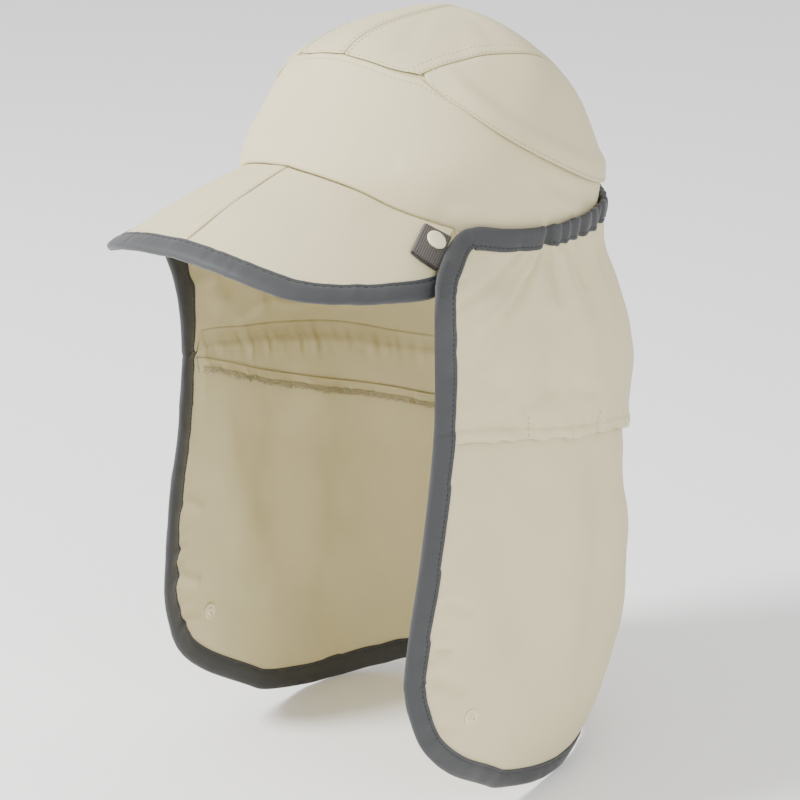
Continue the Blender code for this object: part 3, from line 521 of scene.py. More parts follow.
def crown_radius(bearing, height):
    """Distance from the section's middle to the crown at a bearing."""
    half_width, front, back, middle, squareness = crown_section(height)
    turn = np.radians(bearing)
    ahead = np.cos(turn) > 0
    reach = np.where(ahead, front, back)
    power = np.where(ahead, squareness, BACK_SQUARENESS)
    total = (np.abs(np.sin(turn)) / half_width) ** power + (np.abs(np.cos(turn)) / reach) ** power
    return total ** (-1.0 / power), middle


def crown_point(bearing, height):
    bearing, height = np.broadcast_arrays(np.asarray(bearing, float), np.asarray(height, float))
    radius, middle = crown_radius(bearing, height)
    turn = np.radians(bearing)
    return np.stack([radius * np.sin(turn), middle - radius * np.cos(turn), height], -1)


def crown_gauge(points):
    """Below one inside the crown's surface, above one outside it."""
    half_width, front, back, middle, squareness = crown_section(points[..., 2])
    ahead = points[..., 1] < middle
    reach = np.where(ahead, front, back)
    power = np.where(ahead, squareness, BACK_SQUARENESS)
    gauge = (np.abs(points[..., 0]) / half_width) ** power
    gauge = gauge + (np.abs(points[..., 1] - middle) / reach) ** power
    return np.where(points[..., 2] >= CROWN_HEIGHT, 2.0, gauge)


def onto_crown(points, out=0.0):
    """Moves points along rays from inside the crown until they lie on its surface."""
    heart = np.array(CROWN_HEART)
    ray = unit(points - heart)
    near = np.zeros(points.shape[:-1])
    far = near + 1.5 * (CROWN_BACK + CROWN_FRONT)
    for _ in range(34):
        half = (near + far) / 2
        outside = crown_gauge(heart + ray * half[..., None]) > 1.0
        far = np.where(outside, half, far)
        near = np.where(outside, near, half)
    return heart + ray * (near + out)[..., None]


def crown_bearing(points):
    middle = crown_section(points[..., 2])[3]
    return np.degrees(np.arctan2(points[..., 0], middle - points[..., 1]))


def front_seam_height(bearing):
    return table_curve(FRONT_SEAM, 1, bearing) * CROWN_HEIGHT


def root_seam_height(bearing):
    return table_curve(ROOT_SEAM, 1, bearing) * CROWN_HEIGHT


def lip_height(bearing):
    return table_curve(LIP_SEAM, 1, bearing) * CROWN_HEIGHT


def cape_top_height(bearing):
    """Top edge of the cape: level with the crown's rim seam, rising a little at the temples."""
    rise = root_seam_height(ROOT_END) - CAPE_TOP
    return CAPE_TOP + rise * (1.0 - smooth_step((bearing - TEMPLE_START) / TEMPLE_REACH))


def side_seam(share, inset=0.0):
    rows = np.array(SIDE_SEAM) * np.array([CROWN_HALF_WIDTH, CROWN_BACK, CROWN_HEIGHT])
    knots = np.linspace(0.0, 1.0, len(rows))
    points = np.stack([spline(knots, rows[:, i], share) for i in range(3)], -1)
    points[..., 0] += inset
    return onto_crown(points)


def lip_stand_off(points):
    """How far the vented lip stands off the band: full at the lip and gone above the overlap."""
    bearing = np.abs(crown_bearing(points))
    above = points[..., 2] - lip_height(bearing) - LIP_OVERLAP - LIP_CLEAR
    fade = 1.0 - smooth_step(above / (1.5 * LIP_OVERLAP))
    return LIP_STAND_OFF * fade * smooth_step((bearing - LIP_START + 5.0) / 24.0)


def centre_line(share):
    start = crown_point(0.0, front_seam_height(0.0) + GAP / 2)
    end = crown_point(180.0, lip_height(180.0))
    heart = np.array(CROWN_HEART)
    first = math.atan2(start[2] - heart[2], start[1] - heart[1])
    last = math.atan2(end[2] - heart[2], end[1] - heart[1])
    turn = first + (last - first) * share
    ray = np.stack([np.zeros_like(turn), np.cos(turn), np.sin(turn)], -1)
    return onto_crown(heart + ray * CROWN_BACK)


def peak_point(across, outward, lift=0.0):
    """Upper surface of the peak, from the root seam (0) to its edge (1)."""
    across, outward = np.broadcast_arrays(np.asarray(across, float), np.asarray(outward, float))
    side = np.abs(across)
    bearing = side * PEAK_SPREAD
    root = crown_point(bearing, root_seam_height(bearing) - GAP)
    root_front = crown_point(0.0, root_seam_height(0.0))
    edge = np.stack([
        table_curve(PEAK_EDGE, 1, side) * PEAK_HALF_WIDTH,
        root_front[1] - table_curve(PEAK_EDGE, 2, side) * PEAK_LENGTH,
        root_front[2] - table_curve(PEAK_EDGE, 3, side) * PEAK_FALL,
    ], -1)
    point = root * (1 - outward)[..., None] + edge * outward[..., None]
    point[..., 2] += PEAK_CAMBER * 4 * outward * (1 - outward) + lift
    point[..., 0] *= np.where(across < 0, -1.0, 1.0)
    return point


def peak_normal(across, outward, step=1e-3):
    """Upward normal of the peak's surface."""
    along = peak_point(across + step, outward) - peak_point(across - step, outward)
    out = peak_point(across, outward + step) - peak_point(across, outward - step)
    return -unit(np.cross(along, out))


def cape_edge_bearing(height):
    return table_curve(CAPE_EDGE, 1, height / CAPE_DROP)


def folded(bearing):
    """The bearing on the left that mirrors one on the right."""
    return np.minimum(np.abs(bearing), 360.0 - np.abs(bearing))


def cape_point(bearing, height):
    """Middle of the cape's cloth at a bearing and a height, before its creases."""
    bearing, height = np.broadcast_arrays(np.asarray(bearing, float), np.asarray(height, float))
    shape = bearing.shape
    bearing, height = bearing.ravel(), height.ravel()
    side = folded(bearing)
    crown, middle = crown_radius(side, np.maximum(height, 0.0))
    flares = []
    for row in CAPE_SECTIONS:
        knots = (cape_edge_bearing(row[0] * CAPE_DROP),) + CAPE_BEARINGS[1:]
        flares.append(spline(knots, np.array(row[1:]) * CAPE_FLARE, side))
    heights = [row[0] * CAPE_DROP for row in CAPE_SECTIONS]
    radius = crown + spline(heights, np.array(flares), height) + gather(side, height)
    turn = np.radians(side)
    points = np.stack([radius * np.sin(turn), middle - radius * np.cos(turn), height], -1)
    points[:, 0] *= np.where(bearing > 180.0, -1.0, 1.0)
    return points.reshape(shape + (3,))


def gather(bearing, height):
    """Ripples of the elastic gathers, deepest a little below the top and gone at the pleat."""
    span = 180.0 - GATHER_START
    phase = (bearing - GATHER_START) / span * GATHER_COUNT * math.pi
    fall = (CAPE_TOP - height) / CAPE_DROP
    depth = np.interp(fall, *GATHER_FADE) * GATHER_DEPTH
    begin = smooth_step((bearing - GATHER_START + 2.0) / 6.0)
    return depth * begin * (0.5 - 0.5 * np.cos(phase))


def pinch_table():
    """Bearing, depth, reach downward and lean of each pinch of the elastic, all a little uneven."""
    number = np.arange(PINCH_COUNT)
    bearing = PINCH_START + PINCH_STEP * number + 1.1 * lattice(number, 3.0, 1.0) * (number > 0)
    depth = 1.0 + 0.35 * lattice(number, 5.0, 2.0)
    depth[[0, -1]] = 1.7
    reach = 0.026 + 0.012 * lattice(number, 7.0, 3.0)
    lean = 120.0 * lattice(number, 9.0, 4.0)
    return np.column_stack([bearing, depth, reach, lean])


def pinches(bearing, height, width):
    """How strongly the elastic's pinches draw the cloth in, fading and spreading downward."""
    total = np.zeros(np.broadcast(bearing, height).shape)
    fall = np.maximum(CAPE_TOP - height, 0.0)
    for place, depth, reach, lean in pinch_table():
        spread = width * (1.0 + fall / 0.022)
        total += depth * bump(bearing - place - lean * fall, spread) * bump(fall, reach)
    return total


def strokes(table, bearing, height, scale):
    """Sum of the dents of a table. Its bearings become metres by the scale."""
    total = np.zeros(np.broadcast(bearing, height).shape)
    for first, low, last, high, width, depth in table:
        run, climb = (last - first) * scale, high - low
        length = math.hypot(run, climb)
        x, y = (bearing - first) * scale, height - low
        along = (x * run + y * climb) / length / length
        beside = (x * climb - y * run) / length
        ends = smooth_step((along + 0.15) / 0.3) * smooth_step((1.15 - along) / 0.3)
        total -= depth * bump(beside, width) * ends
    return total


def fold_height(bearing):
    return table_curve(PLEAT, 1, folded(bearing)) * CAPE_DROP


def cape_relief(bearing, height):
    """Creases of the cape: gathers, folds from the elastic, tucks at the tape and soft waves."""
    side = folded(bearing)
    relief = -PINCH_DEPTH * pinches(bearing, height, 1.35)
    left = strokes(CAPE_CREASES, bearing, height, CAPE_ARC)
    right = strokes(CAPE_CREASES, 360.0 - bearing + 1.3, height - 0.004, CAPE_ARC)
    relief = relief + 1.9 * left + 1.5 * right
    calm = smooth_step((CAPE_TOP - height) / 0.05)
    for depth, along, up, seed in CAPE_WAVES:
        relief = relief + depth * calm * waves(bearing / along, height / up, seed)
    above = height - fold_height(bearing)
    pucker = waves(bearing / 2.3, above / 0.014, 13.0) * bump(above - 0.8 * PLEAT_STITCH, 0.0055)
    relief = relief + 0.0014 * pucker - 0.0008 * bump(above - PLEAT_STITCH, 0.0010)
    for tack in PLEAT_TACKS:
        relief = relief - 0.0011 * bump(bearing - tack, 1.3) * bump(above - 0.0055, 0.0075)
    near_edge = bump(side - cape_edge_bearing(height) - 6.6, 3.0)
    return relief + 0.0008 * near_edge * waves(bearing / 9.0, height / 0.0056, 14.0)


def push_out(points, bearing, distance):
    turn = np.radians(bearing)
    out = np.stack([np.sin(turn), -np.cos(turn), np.zeros_like(turn)], -1)
    return points + out * np.broadcast_to(distance, bearing.shape)[..., None]


def cape_surface(bearing, height, out=0.0):
    """Middle of the cape's cloth with its creases."""
    bearing, height = np.broadcast_arrays(np.asarray(bearing, float), np.asarray(height, float))
    crease = bpy.context.scene.cap_sizes.crease
    return push_out(cape_point(bearing, height), bearing, out + crease * cape_relief(bearing, height))


def cape_normal(bearing, height):
    along = cape_point(bearing + 0.4, height) - cape_point(bearing - 0.4, height)
    up = cape_point(bearing, height + 4e-4) - cape_point(bearing, height - 4e-4)
    return unit(np.cross(along, up))


# Border of the cape, where its edge tape runs

CORNER_STEPS = 34
LEVEL_STEPS = 262
HEM_STEPS = np.linspace(0.0, 1.0, 250)
UPPER_ROWS = edge_rows(76, 0.72)
LOWER_ROWS = edge_rows(84, 0.35)


def both_bearings(half):
    return np.concatenate([half, 360.0 - half[-2::-1]])


def both_heights(half):
    return np.concatenate([half, half[-2::-1]])


def top_line():
    """Bearings and heights along the top edge from the left front corner to the right one."""
    corner = np.array(TOP_CORNER)
    knots = np.linspace(0.0, 1.0, len(corner))
    share = np.linspace(0.0, 1.0, CORNER_STEPS)
    level = np.linspace(corner[-1, 0], 180.0, LEVEL_STEPS)[1:]
    bearing = np.concatenate([spline(knots, corner[:, 0], share), level])
    top = cape_top_height(level)
    fade = 1.0 - smooth_step((level - corner[-1, 0]) / CORNER_REACH)
    top = top + (corner[-1, 1] * CAPE_DROP - top[0]) * fade
    height = np.concatenate([spline(knots, corner[:, 1], share) * CAPE_DROP, top])
    return both_bearings(bearing), both_heights(height)


def hem_line():
    """Bearings and heights along the hem from the left front edge to the right one."""
    rows = np.array(HEM)
    knots = np.linspace(0.0, 1.0, len(rows))
    share = spline(knots, rows[:, 0], HEM_STEPS)
    height = spline(knots, rows[:, 1], HEM_STEPS) * CAPE_DROP
    edge = cape_edge_bearing(height)
    return both_bearings(edge + (180.0 - edge) * share), both_heights(height)


def step_into_cloth(bearing, height):
    """Steps in bearing and height that move one metre straight into the cloth, which lies on the
    left of the closed path seen from outside."""
    place = cape_point(bearing, height)
    ahead, behind = np.roll(place, -1, axis=0) - place, place - np.roll(place, 1, axis=0)
    into = np.cross(cape_normal(bearing, height), unit(unit(ahead) + unit(behind)))
    along = (cape_point(bearing + 0.05, height) - cape_point(bearing - 0.05, height)) / 0.1
    up = (cape_point(bearing, height + 1e-4) - cape_point(bearing, height - 1e-4)) / 2e-4
    aa, uu, au = (np.sum(a * b, -1) for a, b in ((along, along), (up, up), (along, up)))
    ia, iu = np.sum(into * along, -1), np.sum(into * up, -1)
    whole = aa * uu - au * au
    return np.stack([(ia * uu - iu * au) / whole, (iu * aa - ia * au) / whole])


def border_loop():
    """Bearings, heights and steps into the cloth round the cape's whole border: along the hem
    from left to right, up the right edge, along the top from right to left, and down."""
    top, hem = top_line(), hem_line()
    fold = fold_height(cape_edge_bearing(PLEAT_HEIGHT))
    lower = hem[1][0] + (fold - hem[1][0]) * LOWER_ROWS[1:-1]
    upper = fold + (top[1][0] - fold) * UPPER_ROWS[:-1]
    side = np.concatenate([lower, upper])
    edge = cape_edge_bearing(side)
    bearing = np.concatenate([hem[0], 360.0 - edge, top[0][::-1], edge[::-1]])
    height = np.concatenate([hem[1], side, top[1][::-1], side[::-1]])
    return bearing, height, step_into_cloth(bearing, height)


def cloth_border():
    """Bearings and heights where the cloth ends inside its tape: hem, right side, top and left
    side, from left to right and upwards."""
    bearing, height, into = border_loop()
    inner = np.column_stack([bearing + into[0] * EDGE_TRIM, height + into[1] * EDGE_TRIM])
    hem, top = len(hem_line()[0]), len(top_line()[0])
    side = len(LOWER_ROWS) + len(UPPER_ROWS) - 3
    return (
        inner[:hem], inner[hem:hem + side],
        inner[hem + side:hem + side + top][::-1], inner[hem + side + top:][::-1],
    )


def filled_in(low, high, left, right, rows):
    """A grid of bearings and heights between a low and a high line and two sides."""
    up = np.array(rows)[:, None, None]
    across = np.linspace(0.0, 1.0, len(low))[None, :, None]
    grid = low * (1 - up) + high * up
    left_gap, right_gap = left[:, None] - grid[:, :1], right[:, None] - grid[:, -1:]
    grid = grid + left_gap * (1 - across) ** 6 + right_gap * across ** 6
    return grid[..., 0], grid[..., 1]


def lower_inset(bearing):
    """How far the lower cloth lies inside the fold: nothing at the front edge, then full."""
    return smooth_step((folded(bearing) - cape_edge_bearing(PLEAT_HEIGHT) - 4.0) / 4.0)


def tuck_depth(bearing, height):
    """How far the lower cloth lies inside the upper one: full behind the fold and the tape."""
    below = table_curve(PLEAT, 2, folded(bearing)) * CAPE_DROP - height
    return PLEAT_DEPTH * (1.0 - smooth_step(below / (4.5 * PLEAT_TUCK)))


# Meshes


def linked(name, mesh, material):
    """An object with a mesh and its material in the scene, shaded smooth."""
    mesh.materials.append(material)
    mesh.shade_smooth()
    obj = bpy.data.objects.new(name, mesh)
    bpy.context.scene.collection.objects.link(obj)
    return obj


def grid_mesh(name, grid, closed=False):
    """A mesh from rows and columns of points, whose texture space is in metres along them."""
    rows, columns = grid.shape[:2]
    row, column = np.meshgrid(np.arange(rows - 1), np.arange(columns - (not closed)), indexing="ij")
    corners = ((row, column), (row, column + 1), (row + 1, column + 1), (row + 1, column))
    faces = np.stack([r * columns + c % columns for r, c in corners], -1).reshape(-1, 4)
    mesh = bpy.data.meshes.new(name)
    mesh.from_pydata(grid.reshape(-1, 3).tolist(), [], faces.tolist())
    ring = np.concatenate([grid, grid[:, :1]], axis=1)
    across = np.linalg.norm(np.diff(ring, axis=1), axis=-1).mean(axis=0)
    up = np.linalg.norm(np.diff(grid, axis=0), axis=-1).mean(axis=1)
    across = np.concatenate([[0.0], np.cumsum(across)])
    up = np.concatenate([[0.0], np.cumsum(up)])
    places = np.stack([np.stack([across[c], up[r]], -1) for r, c in corners], 2)
    layer = mesh.uv_layers.new(name="Cloth")
    layer.data.foreach_set("uv", places.astype(np.float32).ravel())
    return mesh


def cloth_object(name, grid, material, closed=False, wall=None, offset=-1.0):
    """A thin wall of cloth from a grid whose faces look out."""
    obj = linked(name, grid_mesh(name, grid, closed), material)
    layer = obj.modifiers.new("Cloth wall", "SOLIDIFY")
    layer.thickness = wall or bpy.context.scene.cap_sizes.cloth
    layer.offset = offset
    return obj


def tube_object(name, rings, material, closed=False):
    """A closed body swept through rings of points, as a loop or with a cap on each end."""
    count, sides = rings.shape[:2]
    loop = np.concatenate([rings, rings[:, :1]], axis=1)
    if closed:
        loop = np.concatenate([loop, loop[:1]])
    mesh = grid_mesh(name, loop[:, ::-1])
    if not closed:
        mesh = capped(mesh, count, sides)
    obj = linked(name, mesh, material)
    weld = obj.modifiers.new("Weld", "WELD")
    weld.merge_threshold = 1e-6
    return obj


def capped(mesh, count, sides):
    """The same swept mesh with a face on its first ring and one on its last."""
    points = np.empty(len(mesh.vertices) * 3)
    mesh.vertices.foreach_get("co", points)
    faces = [tuple(polygon.vertices) for polygon in mesh.polygons]
    places = np.empty(len(mesh.loops) * 2, np.float32)
    mesh.uv_layers[0].data.foreach_get("uv", places)
    first = tuple(range(sides))
    last = tuple(index + (count - 1) * (sides + 1) for index in reversed(first))
    whole = bpy.data.meshes.new(mesh.name)
    whole.from_pydata(points.reshape(-1, 3).tolist(), [], faces + [first[::-1], last[::-1]])
    layer = whole.uv_layers.new(name="Cloth")
    places = np.concatenate([places, np.zeros(4 * sides, np.float32)])
    layer.data.foreach_set("uv", places)
    bpy.data.meshes.remove(mesh)
    return whole


def grid_normals(grid):
    normal = np.cross(np.gradient(grid, axis=1), np.gradient(grid, axis=0))
    return normal / (np.linalg.norm(normal, axis=-1, keepdims=True) + 1e-12)


def row_distances(grid):
    """Distance of each point from the bottom row and from the top row, along its column."""
    steps = np.linalg.norm(np.diff(grid, axis=0), axis=-1)
    up = np.concatenate([np.zeros((1, grid.shape[1])), np.cumsum(steps, axis=0)])
    return up, up[-1] - up


def column_distances(grid):
    """Distance of each point from the first column and from the last one, along its row."""
    up, down = row_distances(np.swapaxes(grid, 0, 1))
    return up.T, down.T


def line_at(grid, distances, reach):
    """Points and normals where the distances of a grid's columns come to a reach."""
    normals = grid_normals(grid)
    points, directions = [], []
    for column in range(grid.shape[1]):
        run = distances[:, column]
        order = np.argsort(run)
        for source, target in ((grid, points), (normals, directions)):
            values = source[order, column]
            target.append([np.interp(reach, run[order], values[:, i]) for i in range(3)])
    return np.array(points), np.array(directions)


def stitch_rings(points, normals, pitch, length):
    """Middles, directions and normals of evenly spaced stitches along a line."""
    run = np.concatenate([[0.0], np.cumsum(np.linalg.norm(np.diff(points, axis=0), axis=-1))])
    count = max(int(run[-1] / pitch), 1)
    middle = (np.arange(count) + 0.5) * run[-1] / count

    def at(values, distance):
        return np.stack([np.interp(distance, run, values[:, i]) for i in range(3)], -1)

    along = at(points, middle + length / 2) - at(points, middle - length / 2)
    along = along / (np.linalg.norm(along, axis=-1, keepdims=True) + 1e-12)
    return at(points, middle), along, unit(at(normals, middle))


def thread_object(name, lines, material, pitch=None, share=0.72, radius=None):
    """Every stitch of the lines as a short raised thread whose ends dip into the cloth."""
    sizes = bpy.context.scene.cap_sizes
    pitch = pitch or sizes.stitch_pitch
    radius = radius or sizes.thread
    length = pitch * share
    stitches = [stitch_rings(*line, pitch, length) for line in lines]
    middle, along, normal = (np.concatenate(part)[:, None, None, :] for part in zip(*stitches))
    beside = np.cross(along, normal)
    rises = (THREAD_DIP, THREAD_LIFT, THREAD_LIFT, THREAD_DIP)
    stations, width, rise = np.array([THREAD_STATIONS, THREAD_WIDTHS, rises])[:, None, :, None, None]
    turn = (np.arange(THREAD_SIDES) * 2 * math.pi / THREAD_SIDES)[None, None, :, None]
    points = middle + along * stations * length / 2 + normal * (rise * radius)
    points = points + width * radius * (normal * np.cos(turn) + beside * np.sin(turn))
    count = len(THREAD_STATIONS) * THREAD_SIDES
    rings = np.arange(count).reshape(-1, THREAD_SIDES)
    turned = np.roll(rings, -1, axis=1)
    body = np.stack([rings[:-1], turned[:-1], turned[1:], rings[1:]], -1).reshape(-1, 4).tolist()
    around = body + [rings[0, ::-1].tolist(), rings[-1].tolist()]
    offsets = range(0, len(points) * count, count)
    faces = [tuple(index + offset for index in face) for offset in offsets for face in around]
    mesh = bpy.data.meshes.new(name)
    mesh.from_pydata(points.reshape(-1, 3).tolist(), [], faces)
    return linked(name, mesh, material)


def turned_object(name, turning, radius, height, place, normal, material):
    """A round fastener: its profile turned about the normal at a place."""
    normal = unit(normal)
    side = unit(np.cross(normal, (0.0, 0.0, 1.0)))
    other = np.cross(normal, side)
    turns = (np.arange(TURN_STEPS) * 2 * math.pi / TURN_STEPS)[:, None]
    around = np.cos(turns) * side + np.sin(turns) * other
    rings = [place + normal * up * height + around * out * radius for out, up in turning]
    return tube_object(name, np.array(rings)[:, ::-1], material)


def on_side(grid, sign):
    """A grid of the left side as it is, or on the right with its columns turned, so that its faces
    still look out."""
    return grid if sign > 0 else (grid * np.array([sign, 1.0, 1.0]))[:, ::-1]


def settle(piece, slot, *nodes):
    """The piece moves with the cap and the CAD nodes it stands for are hidden. The slot is not used."""
    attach(piece, "root")
    if nodes:
        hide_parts(*nodes)
    return piece


# Finishes


class Finish:
    """A material and short calls that add its nodes."""

    def __init__(self, name, colour, roughness):
        self.material = bpy.data.materials.new(name)
        self.material.use_nodes = True
        self.nodes = self.material.node_tree.nodes
        self.links = self.material.node_tree.links
        self.shader = self.nodes["Principled BSDF"]
        self.shader.inputs["Base Color"].default_value = colour
        self.shader.inputs["Roughness"].default_value = roughness
        self.places = self.nodes.new("ShaderNodeTexCoord")

    def waves(self, pitch, direction, distortion=0.0):
        """Woven ribs a pitch apart in metres, across the cloth's texture space."""
        node = self.nodes.new("ShaderNodeTexWave")
        node.bands_direction = direction
        node.inputs["Scale"].default_value = 2 * math.pi / (20.0 * pitch)
        node.inputs["Distortion"].default_value = distortion
        node.inputs["Detail"].default_value = 1.0
        self.links.new(self.places.outputs["UV"], node.inputs["Vector"])
        return node.outputs["Fac"]

    def noise(self, size, detail=3.0, space="Object"):
        """Uneven cloudiness whose patches are about a size across, in metres."""
        node = self.nodes.new("ShaderNodeTexNoise")
        node.inputs["Scale"].default_value = 1.0 / size
        node.inputs["Detail"].default_value = detail
        self.links.new(self.places.outputs[space], node.inputs["Vector"])
        return node.outputs["Fac"]

    def scaled(self, value, factor, added=0.0):
        node = self.nodes.new("ShaderNodeMath")
        node.operation = "MULTIPLY_ADD"
        self.links.new(value, node.inputs[0])
        node.inputs[1].default_value = factor
        node.inputs[2].default_value = added
        return node.outputs[0]

    def total(self, first, second, operation="ADD"):
        node = self.nodes.new("ShaderNodeMath")
        node.operation = operation
        self.links.new(first, node.inputs[0])
        self.links.new(second, node.inputs[1])
        return node.outputs[0]

    def mix(self, share, first, second):
        """A colour between two, each a colour or the output of a node."""
        node = self.nodes.new("ShaderNodeMix")
        node.data_type = "RGBA"
        self.links.new(share, node.inputs["Factor"])
        for socket, colour in ((node.inputs[6], first), (node.inputs[7], second)):
            if isinstance(colour, bpy.types.NodeSocket):
                self.links.new(colour, socket)
            else:
                socket.default_value = colour
        return node.outputs[2]

    def colour(self, output):
        self.links.new(output, self.shader.inputs["Base Color"])

    def roughness(self, output):
        self.links.new(output, self.shader.inputs["Roughness"])

    def relief(self, height, depth, strength=1.0):
        node = self.nodes.new("ShaderNodeBump")
        node.inputs["Strength"].default_value = strength
        node.inputs["Distance"].default_value = depth
        self.links.new(height, node.inputs["Height"])
        self.links.new(node.outputs["Normal"], self.shader.inputs["Normal"])

    def sheen(self, weight, roughness):
        self.shader.inputs["Sheen Weight"].default_value = weight
        self.shader.inputs["Sheen Roughness"].default_value = roughness


def tinted(colour, factor):
    return tuple(min(channel * factor, 1.0) for channel in colour[:3]) + (1.0,)


def sand_cloth():
    """Light nylon with fine ribs across it and finer threads up it; painted shade darkens its colour in
    the hollows between the ribs and fibres.
    """
    scene = bpy.context.scene
    colour = tuple(scene.cap_colours.cloth)
    pitch = scene.cap_sizes.rib_pitch
    finish = Finish("Sand cloth", colour, 0.78)
    ribs = finish.waves(pitch, "Y", 0.6)
    threads = finish.waves(pitch * 0.55, "X", 0.8)
    fibres = finish.noise(0.0009, 2.0, "UV")
    clouds = finish.noise(0.030, 3.0)
    base = finish.mix(clouds, tinted(colour, 0.955), tinted(colour, 1.045))
    # Painted shade: the colour turns darker where the ribs and fibres dip, standing in for the shade in
    # the weave's hollows.
    shade = finish.total(finish.scaled(ribs, 0.6), finish.scaled(fibres, 0.4))
    painted_rib_shade = finish.mix(clouds, tinted(colour, 0.90), tinted(colour, 0.985))
    finish.colour(finish.mix(shade, painted_rib_shade, base))
    weave = finish.total(finish.scaled(ribs, 0.62), finish.scaled(threads, 0.22))
    finish.relief(finish.total(weave, finish.scaled(fibres, 0.5)), 0.00009, 0.4)
    finish.roughness(finish.scaled(finish.noise(0.004, 2.0), 0.12, 0.72))
    finish.sheen(0.05, 0.5)
    return finish.material


def slate_tape():
    """Soft edge tape with a fine diagonal weave and a faint sheen."""
    scene = bpy.context.scene
    colour = tuple(scene.cap_colours.tape)
    finish = Finish("Slate edge tape", colour, 0.7)
    clouds = finish.noise(0.009, 4.0)
    across = finish.waves(0.00062, "X", 0.7)
    slant = finish.waves(0.00080, "Y", 0.7)
    fuzz = finish.noise(0.0006, 2.0)
    worn = finish.mix(clouds, tinted(colour, 0.84), tinted(colour, 1.16))
    finish.colour(finish.mix(finish.scaled(fuzz, 0.9, -0.05), tinted(colour, 0.80), worn))
    weave = finish.total(finish.scaled(across, 0.5), finish.scaled(slant, 0.4))
    finish.relief(finish.total(weave, finish.scaled(fuzz, 0.7)), 0.00014, 0.6)
    finish.roughness(finish.scaled(clouds, 0.18, 0.58))
    finish.sheen(0.18, 0.4)
    return finish.material


def tab_webbing():
    """Ribbed webbing of brown and grey threads."""
    colours = bpy.context.scene.cap_colours
    brown, grey = tuple(colours.webbing), tuple(colours.webbing_fleck)
    finish = Finish("Tab webbing", brown, 0.8)
    ribs = finish.waves(0.00115, "Y", 0.5)
    picks = finish.waves(0.00095, "X", 0.9)
    speck = finish.noise(0.0007, 2.0)
    threads = finish.total(ribs, picks, "MULTIPLY")
    share = finish.total(finish.scaled(threads, 1.0), finish.scaled(speck, 0.55, -0.14))
    finish.colour(finish.mix(share, tinted(brown, 0.8), grey))
    finish.relief(finish.total(finish.scaled(ribs, 0.8), finish.scaled(picks, 0.5)), 0.00030, 0.9)
    finish.sheen(0.15, 0.4)
    return finish.material


def snap_plastic():
    """Moulded plastic, satin and slightly uneven."""
    colour = tuple(bpy.context.scene.cap_colours.snap)
    finish = Finish("Snap plastic", colour, 0.38)
    clouds = finish.noise(0.0035, 3.0)
    finish.colour(finish.mix(clouds, tinted(colour, 0.93), tinted(colour, 1.05)))
    finish.roughness(finish.scaled(clouds, 0.16, 0.30))
    finish.relief(finish.noise(0.0008, 2.0), 0.00003, 0.5)
    finish.shader.inputs["Subsurface Weight"].default_value = 0.08
    finish.shader.inputs["Subsurface Scale"].default_value = 0.002
    return finish.material


def thread_finish(name, colour):
    """Twisted sewing thread with a soft shine."""
    finish = Finish(name, colour, 0.55)
    twist = finish.noise(0.0006, 2.0)
    finish.colour(finish.mix(twist, tinted(colour, 0.82), tinted(colour, 1.15)))
    finish.relief(twist, 0.00008, 0.8)
    finish.sheen(0.2, 0.3)
    return finish.material


def finish_of(kind):
    """The finish of a kind, made once."""
    colours = bpy.context.scene.cap_colours
    makers = {
        "Sand cloth": sand_cloth,
        "Slate edge tape": slate_tape,
        "Tab webbing": tab_webbing,
        "Snap plastic": snap_plastic,
        "Sand thread": lambda: thread_finish("Sand thread", tinted(colours.cloth, 0.72)),
        "Slate thread": lambda: thread_finish("Slate thread", tinted(colours.tape, 0.30)),
        "Brown thread": lambda: thread_finish("Brown thread", tinted(colours.webbing, 0.6)),
    }
    return bpy.data.materials.get(kind) or makers[kind]()


# Crown


def seam_relief(distance, stitch, dip=0.0005):
    """The cloth dips into a seam, swells beside it and is drawn in again under its stitches."""
    swell = 0.00022 * bump(distance - stitch * 0.55, stitch * 0.35)
    return swell - dip * bump(distance, 0.0007) - 0.0002 * bump(distance - stitch, 0.0005)


def band_grid():
    """The front panel and the band round the sides and back, in one ring from back to back."""
    bearing = np.linspace(-180.0, 180.0, BAND_COLUMNS + 1)
    side = np.abs(bearing)
    under = lip_height(side) + LIP_OVERLAP * smooth_step((side - LIP_START) / 10.0)
    seam = front_seam_height(np.minimum(side, BAND_ENDS))
    top = np.where(side <= BAND_ENDS, seam, under) - GAP / 2
    tuck = smooth_step((side - TUCK_START) / 10.0) * CROWN_TUCK
    root = root_seam_height(np.minimum(side, ROOT_END))
    bottom = np.where(side < ROOT_END, root, cape_top_height(side))
    bottom = bottom + GAP / 2 - tuck
    rows = edge_rows(BAND_ROWS)[:, None]
    heights = bottom * (1 - rows) + top * rows
    grid = crown_point(np.broadcast_to(bearing, heights.shape), heights)
    low, high = row_distances(grid)
    front = 1.0 - smooth_step((side - BAND_ENDS) / 2.0)
    relief = front * seam_relief(high, 0.0025)
    relief = relief - 0.0006 * bump(low, 0.0008) * (side < 54.0)
    relief = relief + 1.3 * strokes(CROWN_DENTS, bearing, heights, CROWN_ARC)
    soft = waves(bearing / 21.0, heights / 0.026, 21.0) * bump(heights - 0.05, 0.03)
    relief = relief + 0.00045 * soft
    rim = top + np.array([[0.0001], [0.0012], [0.0030]])
    allowance = crown_point(np.broadcast_to(bearing, rim.shape), rim)
    under = -0.0011 - 0.0004 * front * np.ones_like(rim)
    return np.concatenate([onto_crown(grid, relief), onto_crown(allowance, under)])


def crown_line(bearing, height):
    """Points and normals of a line on the crown."""
    points = onto_crown(crown_point(bearing, height), 0.0)
    along = crown_point(bearing + 0.2, height) - crown_point(bearing - 0.2, height)
    up = crown_point(bearing, height + 2e-4) - crown_point(bearing, height - 2e-4)
    return points, unit(np.cross(along, up))


